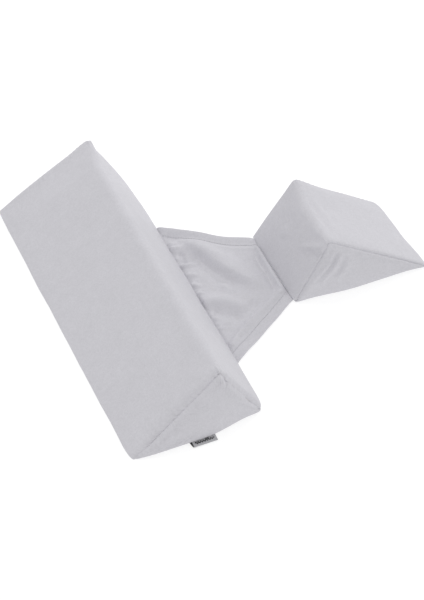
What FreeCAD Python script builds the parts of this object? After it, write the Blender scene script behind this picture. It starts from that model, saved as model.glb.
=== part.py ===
import FreeCAD, Part
import os

import Sketcher

# Side-sleeping support pillow: a long and a short triangular foam wedge, each in a jersey cover,
# joined at their inner bottom edges by a hemmed cloth panel that lies flat between them.
# Each cover opens with a coil zip that is hidden in its base.
#
# Row frame, in millimetres: the origin is the centre of the bounding box on the floor, +X points
# from the long wedge to the short one, +Y runs along the wedges and +Z is up.
#
# Both wedges are drawn in one local frame: the inner bottom edge is the local Y axis, the wedge
# lies on the -X side of it, and local Y is centred on the wedge's length. The short wedge is that
# same drawing turned by 180 degrees about Z, so its local +Y end faces -Y.

SIZES = {
    # wedge section: a right angle at the ridge
    "outer_slope": 110,
    "inner_slope": 70,
    "large_length": 350,
    "small_length": 100,
    "gap": 80,  # between the two inner bottom edges
    "small_offset": 14,  # short wedge and link panel, from the long wedge's middle towards -Y
    "ridge_radius": 5,
    "cloth": 1.5,
    "foam_gap": 0.2,
    "foam_radius": 3,
    "thread": 0.8,
    # link panel
    "link_large_width": 197,
    "link_small_width": 96,
    "hinge_reach": 1.35,  # from a wedge's inner bottom edge to the line that the link turns about
    "link_clearance": 0.7,  # from that line to the link panel
    "hem_width": 12,
    "hem_rise": 1,
    # zip in the base of each cover
    "slit": 12,
    "flange_top": 5.3,
    "tape_width": 6.6,
    "tape_thickness": 0.6,
    "tape_middle": 0.9,  # half of the space between the tapes
    "coil_width": 2,
    "coil_thickness": 1.6,
    "zip_margin": 10,  # from the end panel to the end of the coil
    "stop_length": 2.5,
    "stitch_inset": 0.3,
    "groove_width": 16,
    "groove_top": 7.8,
    # slider and pull
    "slider_length": 9,
    "slider_width": 7.5,
    "slider_low": 2.4,
    "slider_plate": 1,
    "slider_wall": 0.55,
    "slider_lip": 5,  # top of the slider's side walls
    "slider_top": 7.2,
    "slider_play": 0.5,
    "post_width": 0.8,
    "arch_low": 0.3,
    "arch_bar": 0.6,
    "arch_length": 6.4,
    "arch_leg": 0.7,
    "arch_width": 1.6,
    "pull_axis": 1.6,
    "pull_thickness": 1,
    "pull_width": 5.2,
    "pull_window": 2.8,
    "pull_window_end": 5,
    "pull_reach": 13,
    # side label, a ribbon folded once
    "label_width": 26,
    "label_reach": 12,
    "label_from_outer": 67,
    "label_low": 0.1,
    "ribbon": 0.35,
    "label_fold_gap": 0.3,
}

# Expressions that several sub-parts share
BASE_WIDTH = "hypot(Sizes.outer_slope; Sizes.inner_slope)"
CORNER_SUM = f"(Sizes.outer_slope + Sizes.inner_slope - {BASE_WIDTH})"
ZIP_X = f"-{BASE_WIDTH} / 2"
SLIT_INNER = f"{ZIP_X} + Sizes.slit / 2"
SLIT_OUTER = f"{ZIP_X} - Sizes.slit / 2"
COIL_LOW = "Sizes.flange_top - Sizes.coil_thickness"
LINK_Y = "Sizes.label_reach / 2 - Sizes.small_offset"
HINGE_Z = "Sizes.cloth / 2"

LARGE = {
    "prefix": "large",
    "length": "Sizes.large_length",
    "side": -1,
    "centre_y": "Sizes.label_reach / 2",
    "link_width": "Sizes.link_large_width",
    "link_shift": "Sizes.small_offset",
}
SMALL = {
    "prefix": "small",
    "length": "Sizes.small_length",
    "side": 1,
    "centre_y": LINK_Y,
    "link_width": "Sizes.link_small_width",
    "link_shift": "0",
}

doc = FreeCAD.newDocument("support_pillow")
sheet = doc.addObject("Spreadsheet::Sheet", "Sizes")
for row, (alias, value) in enumerate(SIZES.items(), start=1):
    sheet.set(f"A{row}", alias)
    sheet.set(f"B{row}", str(value))
    sheet.setAlias(f"B{row}", alias)
doc.recompute()

sub_parts = []


# Document helpers


def new_body(label):
    body = doc.addObject("PartDesign::Body", label)
    body.Label = label
    sub_parts.append(body)
    return body


def new_sketch(body, name, role):
    """A sketch on one of the body's own origin planes."""
    sketch = body.newObject("Sketcher::SketchObject", name)
    plane = next(f for f in body.Origin.OriginFeatures if f.Role == role)
    sketch.AttachmentSupport = (plane, [""])
    sketch.MapMode = "FlatFace"
    return sketch


def constrain(sketch, constraint, expression):
    index = sketch.addConstraint(constraint)
    sketch.setExpression(f"Constraints[{index}]", expression)


def outline(body, name, role, corners):
    """A closed outline. Each corner is two expressions, across and up in the sketch."""
    sketch = new_sketch(body, name, role)
    count = len(corners)
    ring = Part.makePolygon(
        [FreeCAD.Vector(1, 0, 0)]
        + [
            FreeCAD.Rotation(FreeCAD.Vector(0, 0, 1), 360 * n / count).multVec(FreeCAD.Vector(1, 0, 0))
            for n in range(1, count + 1)
        ]
    )
    # the corners start on a small circle, and their distances then put each one in place
    sketch.addGeometry([Part.LineSegment(e.Vertexes[0].Point, e.Vertexes[1].Point) for e in ring.Edges])
    for n, (across, up) in enumerate(corners):
        sketch.addConstraint(Sketcher.Constraint("Coincident", n - 1 if n else count - 1, 2, n, 1))
        constrain(sketch, Sketcher.Constraint("DistanceX", -1, 1, n, 1, 1.0), across)
        constrain(sketch, Sketcher.Constraint("DistanceY", -1, 1, n, 1, 1.0), up)
    return sketch


def rectangle(body, name, role, left, right, low, high):
    corners = [(left, low), (right, low), (right, high), (left, high)]
    return outline(body, name, role, corners)


def pad(body, sketch, length, back=None):
    """Pad to both sides of the sketch by half the length, or by length one way and back the other."""
    feature = body.newObject("PartDesign::Pad", sketch.Name + "Pad")
    feature.Profile = sketch
    feature.setExpression("Length", length)
    if back is None:
        feature.SideType = "Symmetric"
    else:
        feature.SideType = "Two sides"
        feature.setExpression("Length2", back)
    return feature


def pad_up(body, sketch, height):
    feature = body.newObject("PartDesign::Pad", sketch.Name + "Pad")
    feature.Profile = sketch
    feature.setExpression("Length", height)
    return feature


def cut_through(body, sketch):
    """Cut the outline right through the body, both ways, and check that something was cut."""
    doc.recompute()
    before = body.Shape.Volume
    feature = body.newObject("PartDesign::Pocket", sketch.Name + "Cut")
    feature.Profile = sketch
    feature.SideType = "Symmetric"
    feature.Type = "ThroughAll"
    doc.recompute()
    if body.Shape.Volume >= before:
        raise RuntimeError(f"{feature.Name} cut nothing")


def fillet(body, base, edges, radius):
    feature = body.newObject("PartDesign::Fillet", body.Name + "Round")
    feature.Base = (base, edges)
    feature.setExpression("Radius", radius)
    doc.recompute()
    return feature


def hollow(body, base, thickness):
    """Leave a wall of this thickness inside the skin of a prism, with both ends open."""
    ends = [
        f"Face{n}" for n, face in enumerate(base.Shape.Faces, 1) if abs(face.normalAt(0, 0).y) > 0.999
    ]
    feature = body.newObject("PartDesign::Thickness", body.Name + "Wall")
    feature.Base = (base, ends)
    feature.Reversed = True
    feature.setExpression("Value", thickness)
    doc.recompute()
    return feature


def place(item, wedge, across="0", along="0", up="0"):
    """Put a sub-part at a point of a wedge's local frame."""
    side = wedge["side"]
    turn = 180 if side > 0 else 0
    item.Placement = FreeCAD.Placement(
        FreeCAD.Vector(), FreeCAD.Rotation(FreeCAD.Vector(0, 0, 1), turn)
    )
    item.setExpression("Placement.Base.x", f"{side} * Sizes.gap / 2 + {-side} * ({across})")
    item.setExpression("Placement.Base.y", f"{wedge['centre_y']} + {-side} * ({along})")
    item.setExpression("Placement.Base.z", up)


def bar(label, wedge, across, along, up):
    """A rectangular bar in a wedge's frame. Each of the three is its start and its size."""
    box = doc.addObject("Part::Box", label)
    box.Label = label
    for prop, (_, size) in zip(("Length", "Width", "Height"), (across, along, up)):
        box.setExpression(prop, size)
    place(box, wedge, across[0], along[0], up[0])
    return box


def thread_rod(label, length, rotation=FreeCAD.Rotation(FreeCAD.Vector(1, 0, 0), -90)):
    """A straight run of seam thread along +Y."""
    rod = doc.addObject("Part::Cylinder", label)
    rod.Label = label
    rod.setExpression("Radius", "Sizes.thread / 2")
    rod.setExpression("Height", length)
    rod.Placement = FreeCAD.Placement(FreeCAD.Vector(), rotation)
    sub_parts.append(rod)
    return rod


# The wedge


def long_edges(shape):
    """The edges of a prism that run along Y, as pairs of name and place."""
    found = []
    for n, edge in enumerate(shape.Edges, 1):
        if len(edge.Vertexes) == 2:
            ends = edge.Vertexes[1].Point - edge.Vertexes[0].Point
            if abs(ends.normalize().y) > 0.999:
                found.append((f"Edge{n}", edge.Vertexes[0].Point))
    return found


def ridge_edge(shape):
    return max(long_edges(shape), key=lambda named: named[1].z)[0]


def wedge_prism(body, inset, length):
    """The wedge's triangle, with every side moved in by inset, padded along Y."""
    scale = f"(1 - 2 * ({inset}) / {CORNER_SUM})"
    sketch = new_sketch(body, "Section", "XZ_Plane")
    corner = FreeCAD.Vector(0, 0, 0)
    outer = FreeCAD.Vector(-10, 0, 0)
    ridge = FreeCAD.Vector(-3, 4, 0)
    base, inner, slope = sketch.addGeometry(
        [Part.LineSegment(outer, corner), Part.LineSegment(corner, ridge), Part.LineSegment(ridge, outer)]
    )
    for first, second in ((base, inner), (inner, slope), (slope, base)):
        sketch.addConstraint(Sketcher.Constraint("Coincident", first, 2, second, 1))
    sketch.addConstraint(Sketcher.Constraint("Horizontal", base))
    sketch.addConstraint(Sketcher.Constraint("Perpendicular", inner, slope))
    half_angle = f"(Sizes.inner_slope + {BASE_WIDTH} - Sizes.outer_slope) / {CORNER_SUM}"
    constrain(sketch, Sketcher.Constraint("Distance", inner, 5.0), f"Sizes.inner_slope * {scale}")
    constrain(sketch, Sketcher.Constraint("Distance", slope, 8.0), f"Sizes.outer_slope * {scale}")
    constrain(sketch, Sketcher.Constraint("DistanceX", -1, 1, inner, 1, -0.1), f"-({inset}) * {half_angle}")
    constrain(sketch, Sketcher.Constraint("DistanceY", -1, 1, inner, 1, 0.1), inset)
    feature = pad(body, sketch, length)
    doc.recompute()
    return feature


def ridged_prism(body, inset, length):
    """The same prism with its ridge rounded."""
    prism = wedge_prism(body, inset, length)
    return fillet(body, prism, [ridge_edge(prism.Shape)], f"Sizes.ridge_radius - ({inset})")


def foam_core(wedge):
    """The foam block: a rounded prism with a groove over the zip."""
    body = new_body(wedge["prefix"] + "_foam_core")
    inset = "Sizes.cloth + Sizes.foam_gap"
    ridged = ridged_prism(body, inset, f"{wedge['length']} - 2 * ({inset})")
    base = ridged.Shape.BoundBox.ZMin
    reach = ridged.Shape.BoundBox.YMax
    edges = [name for name, place_ in long_edges(ridged.Shape) if place_.z < base + 0.01]
    for n, edge in enumerate(ridged.Shape.Edges, 1):
        if edge.BoundBox.YLength < 0.01 and abs(abs(edge.Vertexes[0].Point.y) - reach) < 0.01:
            edges.append(f"Edge{n}")
    fillet(body, ridged, edges, "Sizes.foam_radius")
    left = f"{ZIP_X} - Sizes.groove_width / 2"
    right = f"{ZIP_X} + Sizes.groove_width / 2"
    cut_through(body, rectangle(body, "Groove", "XZ_Plane", left, right, "0", "Sizes.groove_top"))
    place(body, wedge)


def wrap_panel(wedge):
    """The cloth over both slopes and the outer part of the base, up to its flange at the zip."""
    body = new_body(wedge["prefix"] + "_wrap_panel")
    length = f"{wedge['length']} - 2 * Sizes.cloth"
    hollow(body, ridged_prism(body, "0", length), "Sizes.cloth")
    open_base = rectangle(body, "BaseOpening", "XZ_Plane", SLIT_OUTER, "Sizes.gap", "-1", "Sizes.cloth")
    cut_through(body, open_base)
    left = f"{SLIT_OUTER} - Sizes.cloth"
    flange = rectangle(body, "Flange", "XZ_Plane", left, SLIT_OUTER, "0", "Sizes.flange_top")
    pad(body, flange, length)
    place(body, wedge)


def base_panel(wedge):
    """The cloth from the zip to the inner bottom seam, with the lip that the link is sewn to."""
    body = new_body(wedge["prefix"] + "_base_panel")
    slope_foot = "-Sizes.cloth * Sizes.inner_slope / Sizes.outer_slope"
    corners = [
        (SLIT_INNER, "0"),
        ("0", "0"),
        (slope_foot, "Sizes.cloth"),
        (f"{SLIT_INNER} + Sizes.cloth", "Sizes.cloth"),
        (f"{SLIT_INNER} + Sizes.cloth", "Sizes.flange_top"),
        (SLIT_INNER, "Sizes.flange_top"),
    ]
    pad(body, outline(body, "Base", "XZ_Plane", corners), f"{wedge['length']} - 2 * Sizes.cloth")
    low = f"{HINGE_Z} - Sizes.thread / 2"
    high = f"{HINGE_Z} + Sizes.thread / 2"
    tip = "Sizes.hinge_reach - Sizes.thread / 2"
    lip = rectangle(body, "SeamLip", "XZ_Plane", "-Sizes.cloth", tip, low, high)
    half = f"{wedge['link_width']} / 2"
    pad(body, lip, f"{half} + {wedge['link_shift']}", f"{half} - {wedge['link_shift']}")
    place(body, wedge)


def end_panels(wedge):
    """The two triangles of cloth that close the cover."""
    for end, sign in ends_of(wedge):
        body = new_body(f"{wedge['prefix']}_{end}_end_panel")
        ridged_prism(body, "0", "Sizes.cloth")
        place(body, wedge, along=f"{sign} * ({wedge['length']} - Sizes.cloth) / 2")


def ends_of(wedge):
    """The name of each end with its sign in the local frame. The near end faces -Y in the row."""
    return (("near", wedge["side"]), ("far", -wedge["side"]))


def seam_threads(wedge):
    """The stitching inside each end seam, broken at the zip, and along the inner bottom seam."""
    for end, sign in ends_of(wedge):
        body = new_body(f"{wedge['prefix']}_{end}_seam_thread")
        hollow(body, ridged_prism(body, "Sizes.cloth", "Sizes.thread"), "Sizes.thread")
        left = f"{ZIP_X} - Sizes.groove_width / 2"
        right = f"{ZIP_X} + Sizes.groove_width / 2"
        cut_through(body, rectangle(body, "ZipBreak", "XZ_Plane", left, right, "0", "Sizes.groove_top"))
        place(body, wedge, along=f"{sign} * ({wedge['length']} / 2 - Sizes.cloth - Sizes.thread / 2)")
    # the rod lies in the corner, against both cloths
    inset = "(Sizes.cloth + Sizes.thread / 2)"
    half_angle = f"(Sizes.inner_slope + {BASE_WIDTH} - Sizes.outer_slope) / {CORNER_SUM}"
    length = f"{wedge['length']} - 2 * (Sizes.cloth + Sizes.thread)"
    rod = thread_rod(wedge["prefix"] + "_inner_seam_thread", length)
    side = wedge["side"]
    rod.setExpression("Placement.Base.x", f"{side} * (Sizes.gap / 2 + {inset} * {half_angle})")
    rod.setExpression("Placement.Base.y", f"{wedge['centre_y']} - ({length}) / 2")
    rod.setExpression("Placement.Base.z", inset)


def link_seam_thread(wedge):
    """The stitching that the link panel turns about, at the tip of the wedge's seam lip."""
    rod = thread_rod(f"link_{wedge['prefix']}_seam_thread", wedge["link_width"])
    side = wedge["side"]
    rod.setExpression("Placement.Base.x", f"{side} * (Sizes.gap / 2 - Sizes.hinge_reach)")
    rod.setExpression("Placement.Base.y", f"{LINK_Y} - {wedge['link_width']} / 2")
    rod.setExpression("Placement.Base.z", HINGE_Z)


# The zip. Its middle line is at ZIP_X, and the slider closes it towards local +Y.


def zip_halves(wedge):
    """For each half of the zip: its tape, its coil and the stitching that holds the tape."""
    length = f"({wedge['length']} - 2 * Sizes.cloth)"
    coil_length = f"({length} - 2 * Sizes.zip_margin)"
    for name, low in (("inner", "{0}"), ("outer", "-({0}) - ({1})")):

        def across(start, size):
            """Start and size of a bar in this half, from its distance to the zip's middle."""
            return (f"{ZIP_X} + " + low.format(start, size), size)

        whole = (f"-{length} / 2", length)
        tape_z = ("Sizes.flange_top", "Sizes.tape_thickness")
        coil_z = (COIL_LOW, "Sizes.coil_thickness")
        coil_y = (f"-{coil_length} / 2", coil_length)
        stitch = f"Sizes.slit / 2 + Sizes.stitch_inset"
        stitch_z = ("Sizes.flange_top + Sizes.tape_thickness", "Sizes.thread")
        prefix = wedge["prefix"]
        tape_x = across("Sizes.tape_middle", "Sizes.tape_width")
        coil_x = across("Sizes.tape_middle", "Sizes.coil_width")
        stitch_x = across(stitch, "Sizes.thread")
        sub_parts.append(bar(f"{prefix}_zip_tape_{name}", wedge, tape_x, whole, tape_z))
        sub_parts.append(bar(f"{prefix}_zip_coil_{name}", wedge, coil_x, coil_y, coil_z))
        sub_parts.append(bar(f"{prefix}_zip_stitch_{name}", wedge, stitch_x, whole, stitch_z))


def zip_stops(wedge):
    """Two clips at the closed end, one on each tape, and one across both tapes at the open end."""
    coil_end = f"({wedge['length']} / 2 - Sizes.cloth - Sizes.zip_margin)"
    up = (COIL_LOW, "Sizes.coil_thickness")
    clips = []
    for name, sign in (("inner", 1), ("outer", -1)):
        start = f"{ZIP_X} + {sign} * (Sizes.tape_middle + Sizes.coil_width / 2) - Sizes.coil_width / 2"
        label = f"{wedge['prefix']}_zip_top_clip_{name}"
        across = (start, "Sizes.coil_width")
        clips.append(bar(label, wedge, across, (coil_end, "Sizes.stop_length"), up))
    pair = doc.addObject("Part::Compound", wedge["prefix"] + "_zip_top_stops")
    pair.Label = wedge["prefix"] + "_zip_top_stops"
    pair.Links = clips
    half = "(Sizes.tape_middle + Sizes.coil_width)"
    across = (f"{ZIP_X} - {half}", f"2 * {half}")
    along = (f"-{coil_end} - Sizes.stop_length", "Sizes.stop_length")
    sub_parts.append(pair)
    sub_parts.append(bar(wedge["prefix"] + "_zip_bottom_stop", wedge, across, along, up))


def slider_rest(wedge):
    """Where the middle of the slider stands along the wedge when the zip is closed."""
    margin = "(Sizes.cloth + Sizes.zip_margin + Sizes.slider_length / 2 + Sizes.slider_play)"
    return f"{wedge['length']} / 2 - {margin}"


def zip_slider(wedge):
    """Lower plate with side walls around the coils, a post between them, and a plate over the tapes."""
    body = new_body(wedge["prefix"] + "_zip_slider")
    half = "Sizes.slider_width / 2"
    inside = "Sizes.slider_width / 2 - Sizes.slider_wall"
    post = "Sizes.post_width / 2"
    floor = "Sizes.slider_low + Sizes.slider_plate"
    roof = "Sizes.slider_top - Sizes.slider_plate"
    right = [
        (half, "Sizes.slider_low"),
        (half, "Sizes.slider_lip"),
        (inside, "Sizes.slider_lip"),
        (inside, floor),
        (post, floor),
        (post, roof),
        (half, roof),
        (half, "Sizes.slider_top"),
    ]
    left = [(f"-({across})", up) for across, up in reversed(right)]
    pad(body, outline(body, "Channel", "XZ_Plane", right + left), "Sizes.slider_length")
    outside = "Sizes.arch_length / 2"
    within = "Sizes.arch_length / 2 - Sizes.arch_leg"
    bar_top = "Sizes.arch_low + Sizes.arch_bar"
    arch = [
        (f"-({outside})", "Sizes.slider_low"),
        (f"-({outside})", "Sizes.arch_low"),
        (outside, "Sizes.arch_low"),
        (outside, "Sizes.slider_low"),
        (within, "Sizes.slider_low"),
        (within, bar_top),
        (f"-({within})", bar_top),
        (f"-({within})", "Sizes.slider_low"),
    ]
    pad(body, outline(body, "Arch", "YZ_Plane", arch), "Sizes.arch_width")
    place(body, wedge, ZIP_X, slider_rest(wedge))


def zip_pull(wedge):
    """A flat tab that turns on its round cross bar, which passes through the slider's arch."""
    body = new_body(wedge["prefix"] + "_zip_pull")
    half = "Sizes.pull_width / 2"
    window = "Sizes.pull_window / 2"
    tab = [
        (f"-({half})", "0"),
        (f"-({half})", "-Sizes.pull_reach"),
        (half, "-Sizes.pull_reach"),
        (half, "0"),
        (window, "0"),
        (window, "-Sizes.pull_window_end"),
        (f"-({window})", "-Sizes.pull_window_end"),
        (f"-({window})", "0"),
    ]
    pad(body, outline(body, "Tab", "XY_Plane", tab), "Sizes.pull_thickness")
    cross_bar = new_sketch(body, "CrossBar", "YZ_Plane")
    circle = Part.Circle(FreeCAD.Vector(0, 0, 0), FreeCAD.Vector(0, 0, 1), 1)
    cross_bar.addGeometry(circle)
    cross_bar.addConstraint(Sketcher.Constraint("Coincident", 0, 3, -1, 1))
    constrain(cross_bar, Sketcher.Constraint("Radius", 0, 1.0), "Sizes.pull_thickness / 2")
    pad(body, cross_bar, "Sizes.pull_width")
    place(body, wedge, ZIP_X, slider_rest(wedge), "Sizes.pull_axis")


def build_wedge(wedge):
    foam_core(wedge)
    wrap_panel(wedge)
    base_panel(wedge)
    end_panels(wedge)
    seam_threads(wedge)
    link_seam_thread(wedge)
    zip_halves(wedge)
    zip_stops(wedge)
    zip_slider(wedge)
    zip_pull(wedge)


# The link panel and the label


def link_panel():
    """The trapezoid between the wedges, with a folded hem along both slanted edges."""
    reach = "(Sizes.gap / 2 - Sizes.hinge_reach - Sizes.link_clearance)"
    wide = "Sizes.link_large_width / 2"
    narrow = "Sizes.link_small_width / 2"
    slant = f"hypot(2 * {reach}; {wide} - {narrow}) / (2 * {reach})"
    body = new_body("link_panel")
    corners = [
        (f"-{reach}", f"-{wide}"),
        (reach, f"-{narrow}"),
        (reach, narrow),
        (f"-{reach}", wide),
    ]
    pad_up(body, outline(body, "Cloth", "XY_Plane", corners), "Sizes.cloth")
    place_link(body)
    for end, sign in (("near", -1), ("far", 1)):

        def strip(name, owner, start, size):
            """A strip along the slanted edge, from start to start + size inside it."""
            first = f"({start}) * {slant}"
            second = f"({start} + {size}) * {slant}"
            quad = [
                (f"-{reach}", f"{sign} * ({wide} - {first})"),
                (reach, f"{sign} * ({narrow} - {first})"),
                (reach, f"{sign} * ({narrow} - {second})"),
                (f"-{reach}", f"{sign} * ({wide} - {second})"),
            ]
            return outline(owner, name, "XY_Plane", quad)

        pad_up(body, strip(end.title() + "Hem", body, "0", "Sizes.hem_width"), "Sizes.cloth + Sizes.hem_rise")
        thread = new_body(f"link_{end}_hem_thread")
        pad_up(thread, strip("Run", thread, "Sizes.hem_width", "Sizes.thread"), "Sizes.thread")
        place_link(thread, "Sizes.cloth")


def place_link(body, up="0"):
    body.setExpression("Placement.Base.y", LINK_Y)
    body.setExpression("Placement.Base.z", up)


def side_label():
    """A ribbon folded once and caught in the long wedge's near end seam, on the base."""
    body = new_body("side_label")
    low = "Sizes.label_low"
    slot_low = "Sizes.label_low + Sizes.ribbon"
    slot_high = f"{slot_low} + Sizes.label_fold_gap"
    high = f"{slot_high} + Sizes.ribbon"
    fold = "-Sizes.label_reach + Sizes.ribbon"
    corners = [
        ("0", low),
        ("-Sizes.label_reach", low),
        ("-Sizes.label_reach", high),
        ("0", high),
        ("0", slot_high),
        (fold, slot_high),
        (fold, slot_low),
        ("0", slot_low),
    ]
    pad(body, outline(body, "Ribbon", "YZ_Plane", corners), "Sizes.label_width")
    place(body, LARGE, f"Sizes.label_from_outer - {BASE_WIDTH}", f"-{LARGE['length']} / 2")


def check_and_write():
    """Stop if anything failed to build. Otherwise write each sub-part to its own STEP file."""
    doc.recompute()
    for item in doc.Objects:
        if "Invalid" in item.State or "Error" in item.State:
            raise RuntimeError(f"{item.Label} did not build: {item.State}")
    for item in sub_parts:
        if item.Shape.isNull() or not item.Shape.isValid() or not item.Shape.Solids:
            raise RuntimeError(f"{item.Label} has no valid solid")
    os.makedirs("parts", exist_ok=True)
    for item in sub_parts:
        item.Shape.exportStep(f"parts/{item.Label}.step")
        print(item.Label, len(item.Shape.Solids), round(item.Shape.Volume, 1), item.Shape.BoundBox)


build_wedge(LARGE)
build_wedge(SMALL)
link_panel()
side_label()
check_and_write()
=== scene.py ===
import math

import bmesh
import bpy
import numpy as np
from mathutils import Matrix, Vector


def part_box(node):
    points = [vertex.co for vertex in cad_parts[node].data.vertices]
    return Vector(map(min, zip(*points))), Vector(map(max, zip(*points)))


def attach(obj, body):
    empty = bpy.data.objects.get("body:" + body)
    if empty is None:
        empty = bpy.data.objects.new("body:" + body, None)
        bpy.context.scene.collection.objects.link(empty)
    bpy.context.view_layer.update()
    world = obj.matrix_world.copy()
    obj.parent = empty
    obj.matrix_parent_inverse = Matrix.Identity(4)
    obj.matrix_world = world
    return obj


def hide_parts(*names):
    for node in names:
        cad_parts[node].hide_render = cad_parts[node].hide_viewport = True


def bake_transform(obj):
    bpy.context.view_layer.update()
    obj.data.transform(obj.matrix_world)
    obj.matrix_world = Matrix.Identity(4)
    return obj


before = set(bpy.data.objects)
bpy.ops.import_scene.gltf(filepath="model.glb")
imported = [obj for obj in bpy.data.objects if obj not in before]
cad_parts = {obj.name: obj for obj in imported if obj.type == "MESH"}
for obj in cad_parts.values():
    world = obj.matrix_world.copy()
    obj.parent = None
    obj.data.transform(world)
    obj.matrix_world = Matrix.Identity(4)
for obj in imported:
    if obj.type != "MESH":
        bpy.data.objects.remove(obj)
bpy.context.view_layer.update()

# Lengths below are in millimetres in the row frame. finish_mesh() turns them into metres.
MM = 0.001
CLOTH = 0.75  # thickness of one layer of jersey
ROLL = 1.35  # radius of the roll where a panel turns into a stitched seam
TIP_ROLL = 1.0  # the same at the acute outer corner
TOE_ROLL = 0.8  # the same where the link is sewn in
SOFT_ROLL = 7.0  # the same along an edge that is only rounded
SEAM_TURN = math.radians(145)  # how far a panel turns into a stitched seam
SOFT_TURN = math.radians(45)  # and along an edge that is only rounded
ALLOWANCE = 3.1  # how far a seam allowance goes on inside
SEAM_GAP = 0.8  # room left in the inner seam for the link's cloth
TOE_ALLOWANCE = 4.0  # and in the seam at the toe
RIDGE_RADIUS = 7.5
RIDGE_END_RADIUS = 5.0  # the ridge is sharper at its ends
TIP_RADIUS = 1.2
TOE_RADIUS = 2.2
RIDGE_SHARE = 0.2882  # the ridge stands this share of the width from the toe
RIDGE_LIFT = 4.5  # the sharp corner of the section over the CAD ridge
TIP_REACH = 3.9  # the sharp outer corner lies this far outside the rounded one
TOE_REACH = 2.0  # and the inner bottom corner this far
COVER_STEP = 1.8  # grid step of the covers along a wedge
D_STEP = 0.25  # step of the tables of inset sections
LIP, FLANGE, LIP_BEND = 6.0, 9.5, 0.9  # the panels' lips on each side of the zip
RIM_REACH = 9.0  # the covers round off over this distance towards an end seam
END_REACH = 45.0  # reach of an end's own shape along the wedge
CORNER_ACROSS = 12.0  # reach of the round corners in plan, across the wedge
CORNER_REACH = 30.0  # their pull fades out over this distance
LOW_SHARE = 0.35  # and over this share of the height, at the top
BELLY_FROM, BELLY_OVER = 0.09, 0.38  # a belly turns from its toe value to its middle one here, in shares of
TIP_FROM, TIP_OVER = 0.8, 0.2  # the width, and to its tip value here
GATHER_SPACING, GATHER_REACH = 5.5, 2.8  # the gathers beside a seam
GATHER_FADE = 40.0  # they grow over this distance from the toe
DEEPEST = 8.0  # the deepest inset that a seam needs
RIDGE_BLEND = 34.0  # the ridge turns from its end radius to its middle one over this distance
FOAM_CLEARANCE = 1.7  # the foam lies this far inside the covers' outer faces
FOAM_ROUND = 10.0  # radius of its rounded ends
FOAM_STEP = 4.0  # its grid step along a wedge
CHANNEL_HALF, CHANNEL_TOP = 11.5, 9.0  # the foam's channel over the zip
WELD = 1e-6  # points closer than this are one, in metres
SHARP_ANGLE = math.radians(65)  # edges sharper than this stay sharp
CURVE_POINTS = 48  # on a smooth line
WAVE_COUNT = 7  # waves that add up to one unevenness
TUBE_SIDES = 6
ASIDE = (0.3, 0.2, 0.93)  # a direction that no tube starts in, to set its sides out from
SEAM_THREAD, HEM_THREAD, ZIP_THREAD = 0.17, 0.24, 0.2  # radii
ZIGZAG_STEP, ZIGZAG_SWING = 0.55, 0.3  # step and half width of the seams' zigzag threads


# ---------------------------------------------------------------- mesh helpers

def unit(v):
    return v / np.maximum(np.linalg.norm(v, axis=-1, keepdims=True), 1e-12)


def smoothstep(x):
    x = np.clip(x, 0, 1)
    return x * x * (3 - 2 * x)


def near_edge(distance, reach):
    """1 at an edge, falling to 0 at reach, fast at first."""
    return np.clip(1 - distance / reach, 0, 1) ** 2.5


def mix(a, b, share):
    return a + (b - a) * share


def box_mm(node):
    return [np.array(corner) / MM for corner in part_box(node)]


def grid_normals(grid, closed):
    """Normals of a grid of points, from the differences between neighbours."""
    if closed:
        across = np.roll(grid, -1, 0) - np.roll(grid, 1, 0)
    else:
        across = np.gradient(grid, axis=0)
    return unit(np.cross(across, np.gradient(grid, axis=1)))


def finish_mesh(name, points, faces, weave):
    """A mesh object from points in millimetres, welded and with its faces turned outward.

    weave holds each point's place in the flat cloth, in millimetres, for the materials."""
    mesh = bpy.data.meshes.new(name)
    mesh.from_pydata((np.asarray(points) * MM).tolist(), [], [[int(v) for v in f] for f in faces])
    attribute = mesh.attributes.new("cloth_mm", "FLOAT_VECTOR", "POINT")
    attribute.data.foreach_set("vector", np.asarray(weave, np.float32).ravel())
    made = bmesh.new()
    made.from_mesh(mesh)
    bmesh.ops.remove_doubles(made, verts=made.verts, dist=WELD)
    bmesh.ops.recalc_face_normals(made, faces=made.faces)
    made.to_mesh(mesh)
    made.free()
    mesh.polygons.foreach_set("use_smooth", [True] * len(mesh.polygons))
    mesh.set_sharp_from_angle(angle=SHARP_ANGLE)
    mesh.update()
    piece = bpy.data.objects.new(name, mesh)
    bpy.context.scene.collection.objects.link(piece)
    return piece


def quads(rows, columns, closed=False):
    """Faces of a grid whose point (i, j) has index i * columns + j."""
    count = rows if closed else rows - 1
    i, j = np.meshgrid(np.arange(count), np.arange(columns - 1), indexing="ij")
    after = (i + 1) % rows
    corners = [i * columns + j, after * columns + j, after * columns + j + 1, i * columns + j + 1]
    return np.stack(corners, -1).reshape(-1, 4)


def shell(name, grid, weave, closed=False, thickness=CLOTH):
    """A closed piece of cloth: grid is its outer face, and the cloth lies behind it.

    With closed, the rows form rings whose last column is one point, the middle of the panel."""
    rows, columns = grid.shape[:2]
    size = rows * columns
    normals = grid_normals(grid, closed)
    if closed:
        normals[:, -1] = unit(normals[:, -2].mean(0))
    back = grid - normals * thickness
    front = quads(rows, columns, closed)
    rims = []
    for a in range(rows if closed else rows - 1):
        b = (a + 1) % rows
        rims.append((b * columns, a * columns, a * columns + size, b * columns + size))
        if not closed:
            a_end, b_end = (a + 1) * columns - 1, (b + 1) * columns - 1
            rims.append((a_end, b_end, b_end + size, a_end + size))
    if not closed:
        last = (rows - 1) * columns
        for j in range(columns - 1):
            rims.append((j, j + 1, j + 1 + size, j + size))
            rims.append((last + j + 1, last + j, last + j + size, last + j + 1 + size))
    faces = np.concatenate([front, front[:, ::-1] + size, np.array(rims)])
    points = np.concatenate([grid.reshape(-1, 3), back.reshape(-1, 3)])
    return finish_mesh(name, points, faces, np.concatenate([weave.reshape(-1, 3)] * 2))


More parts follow.
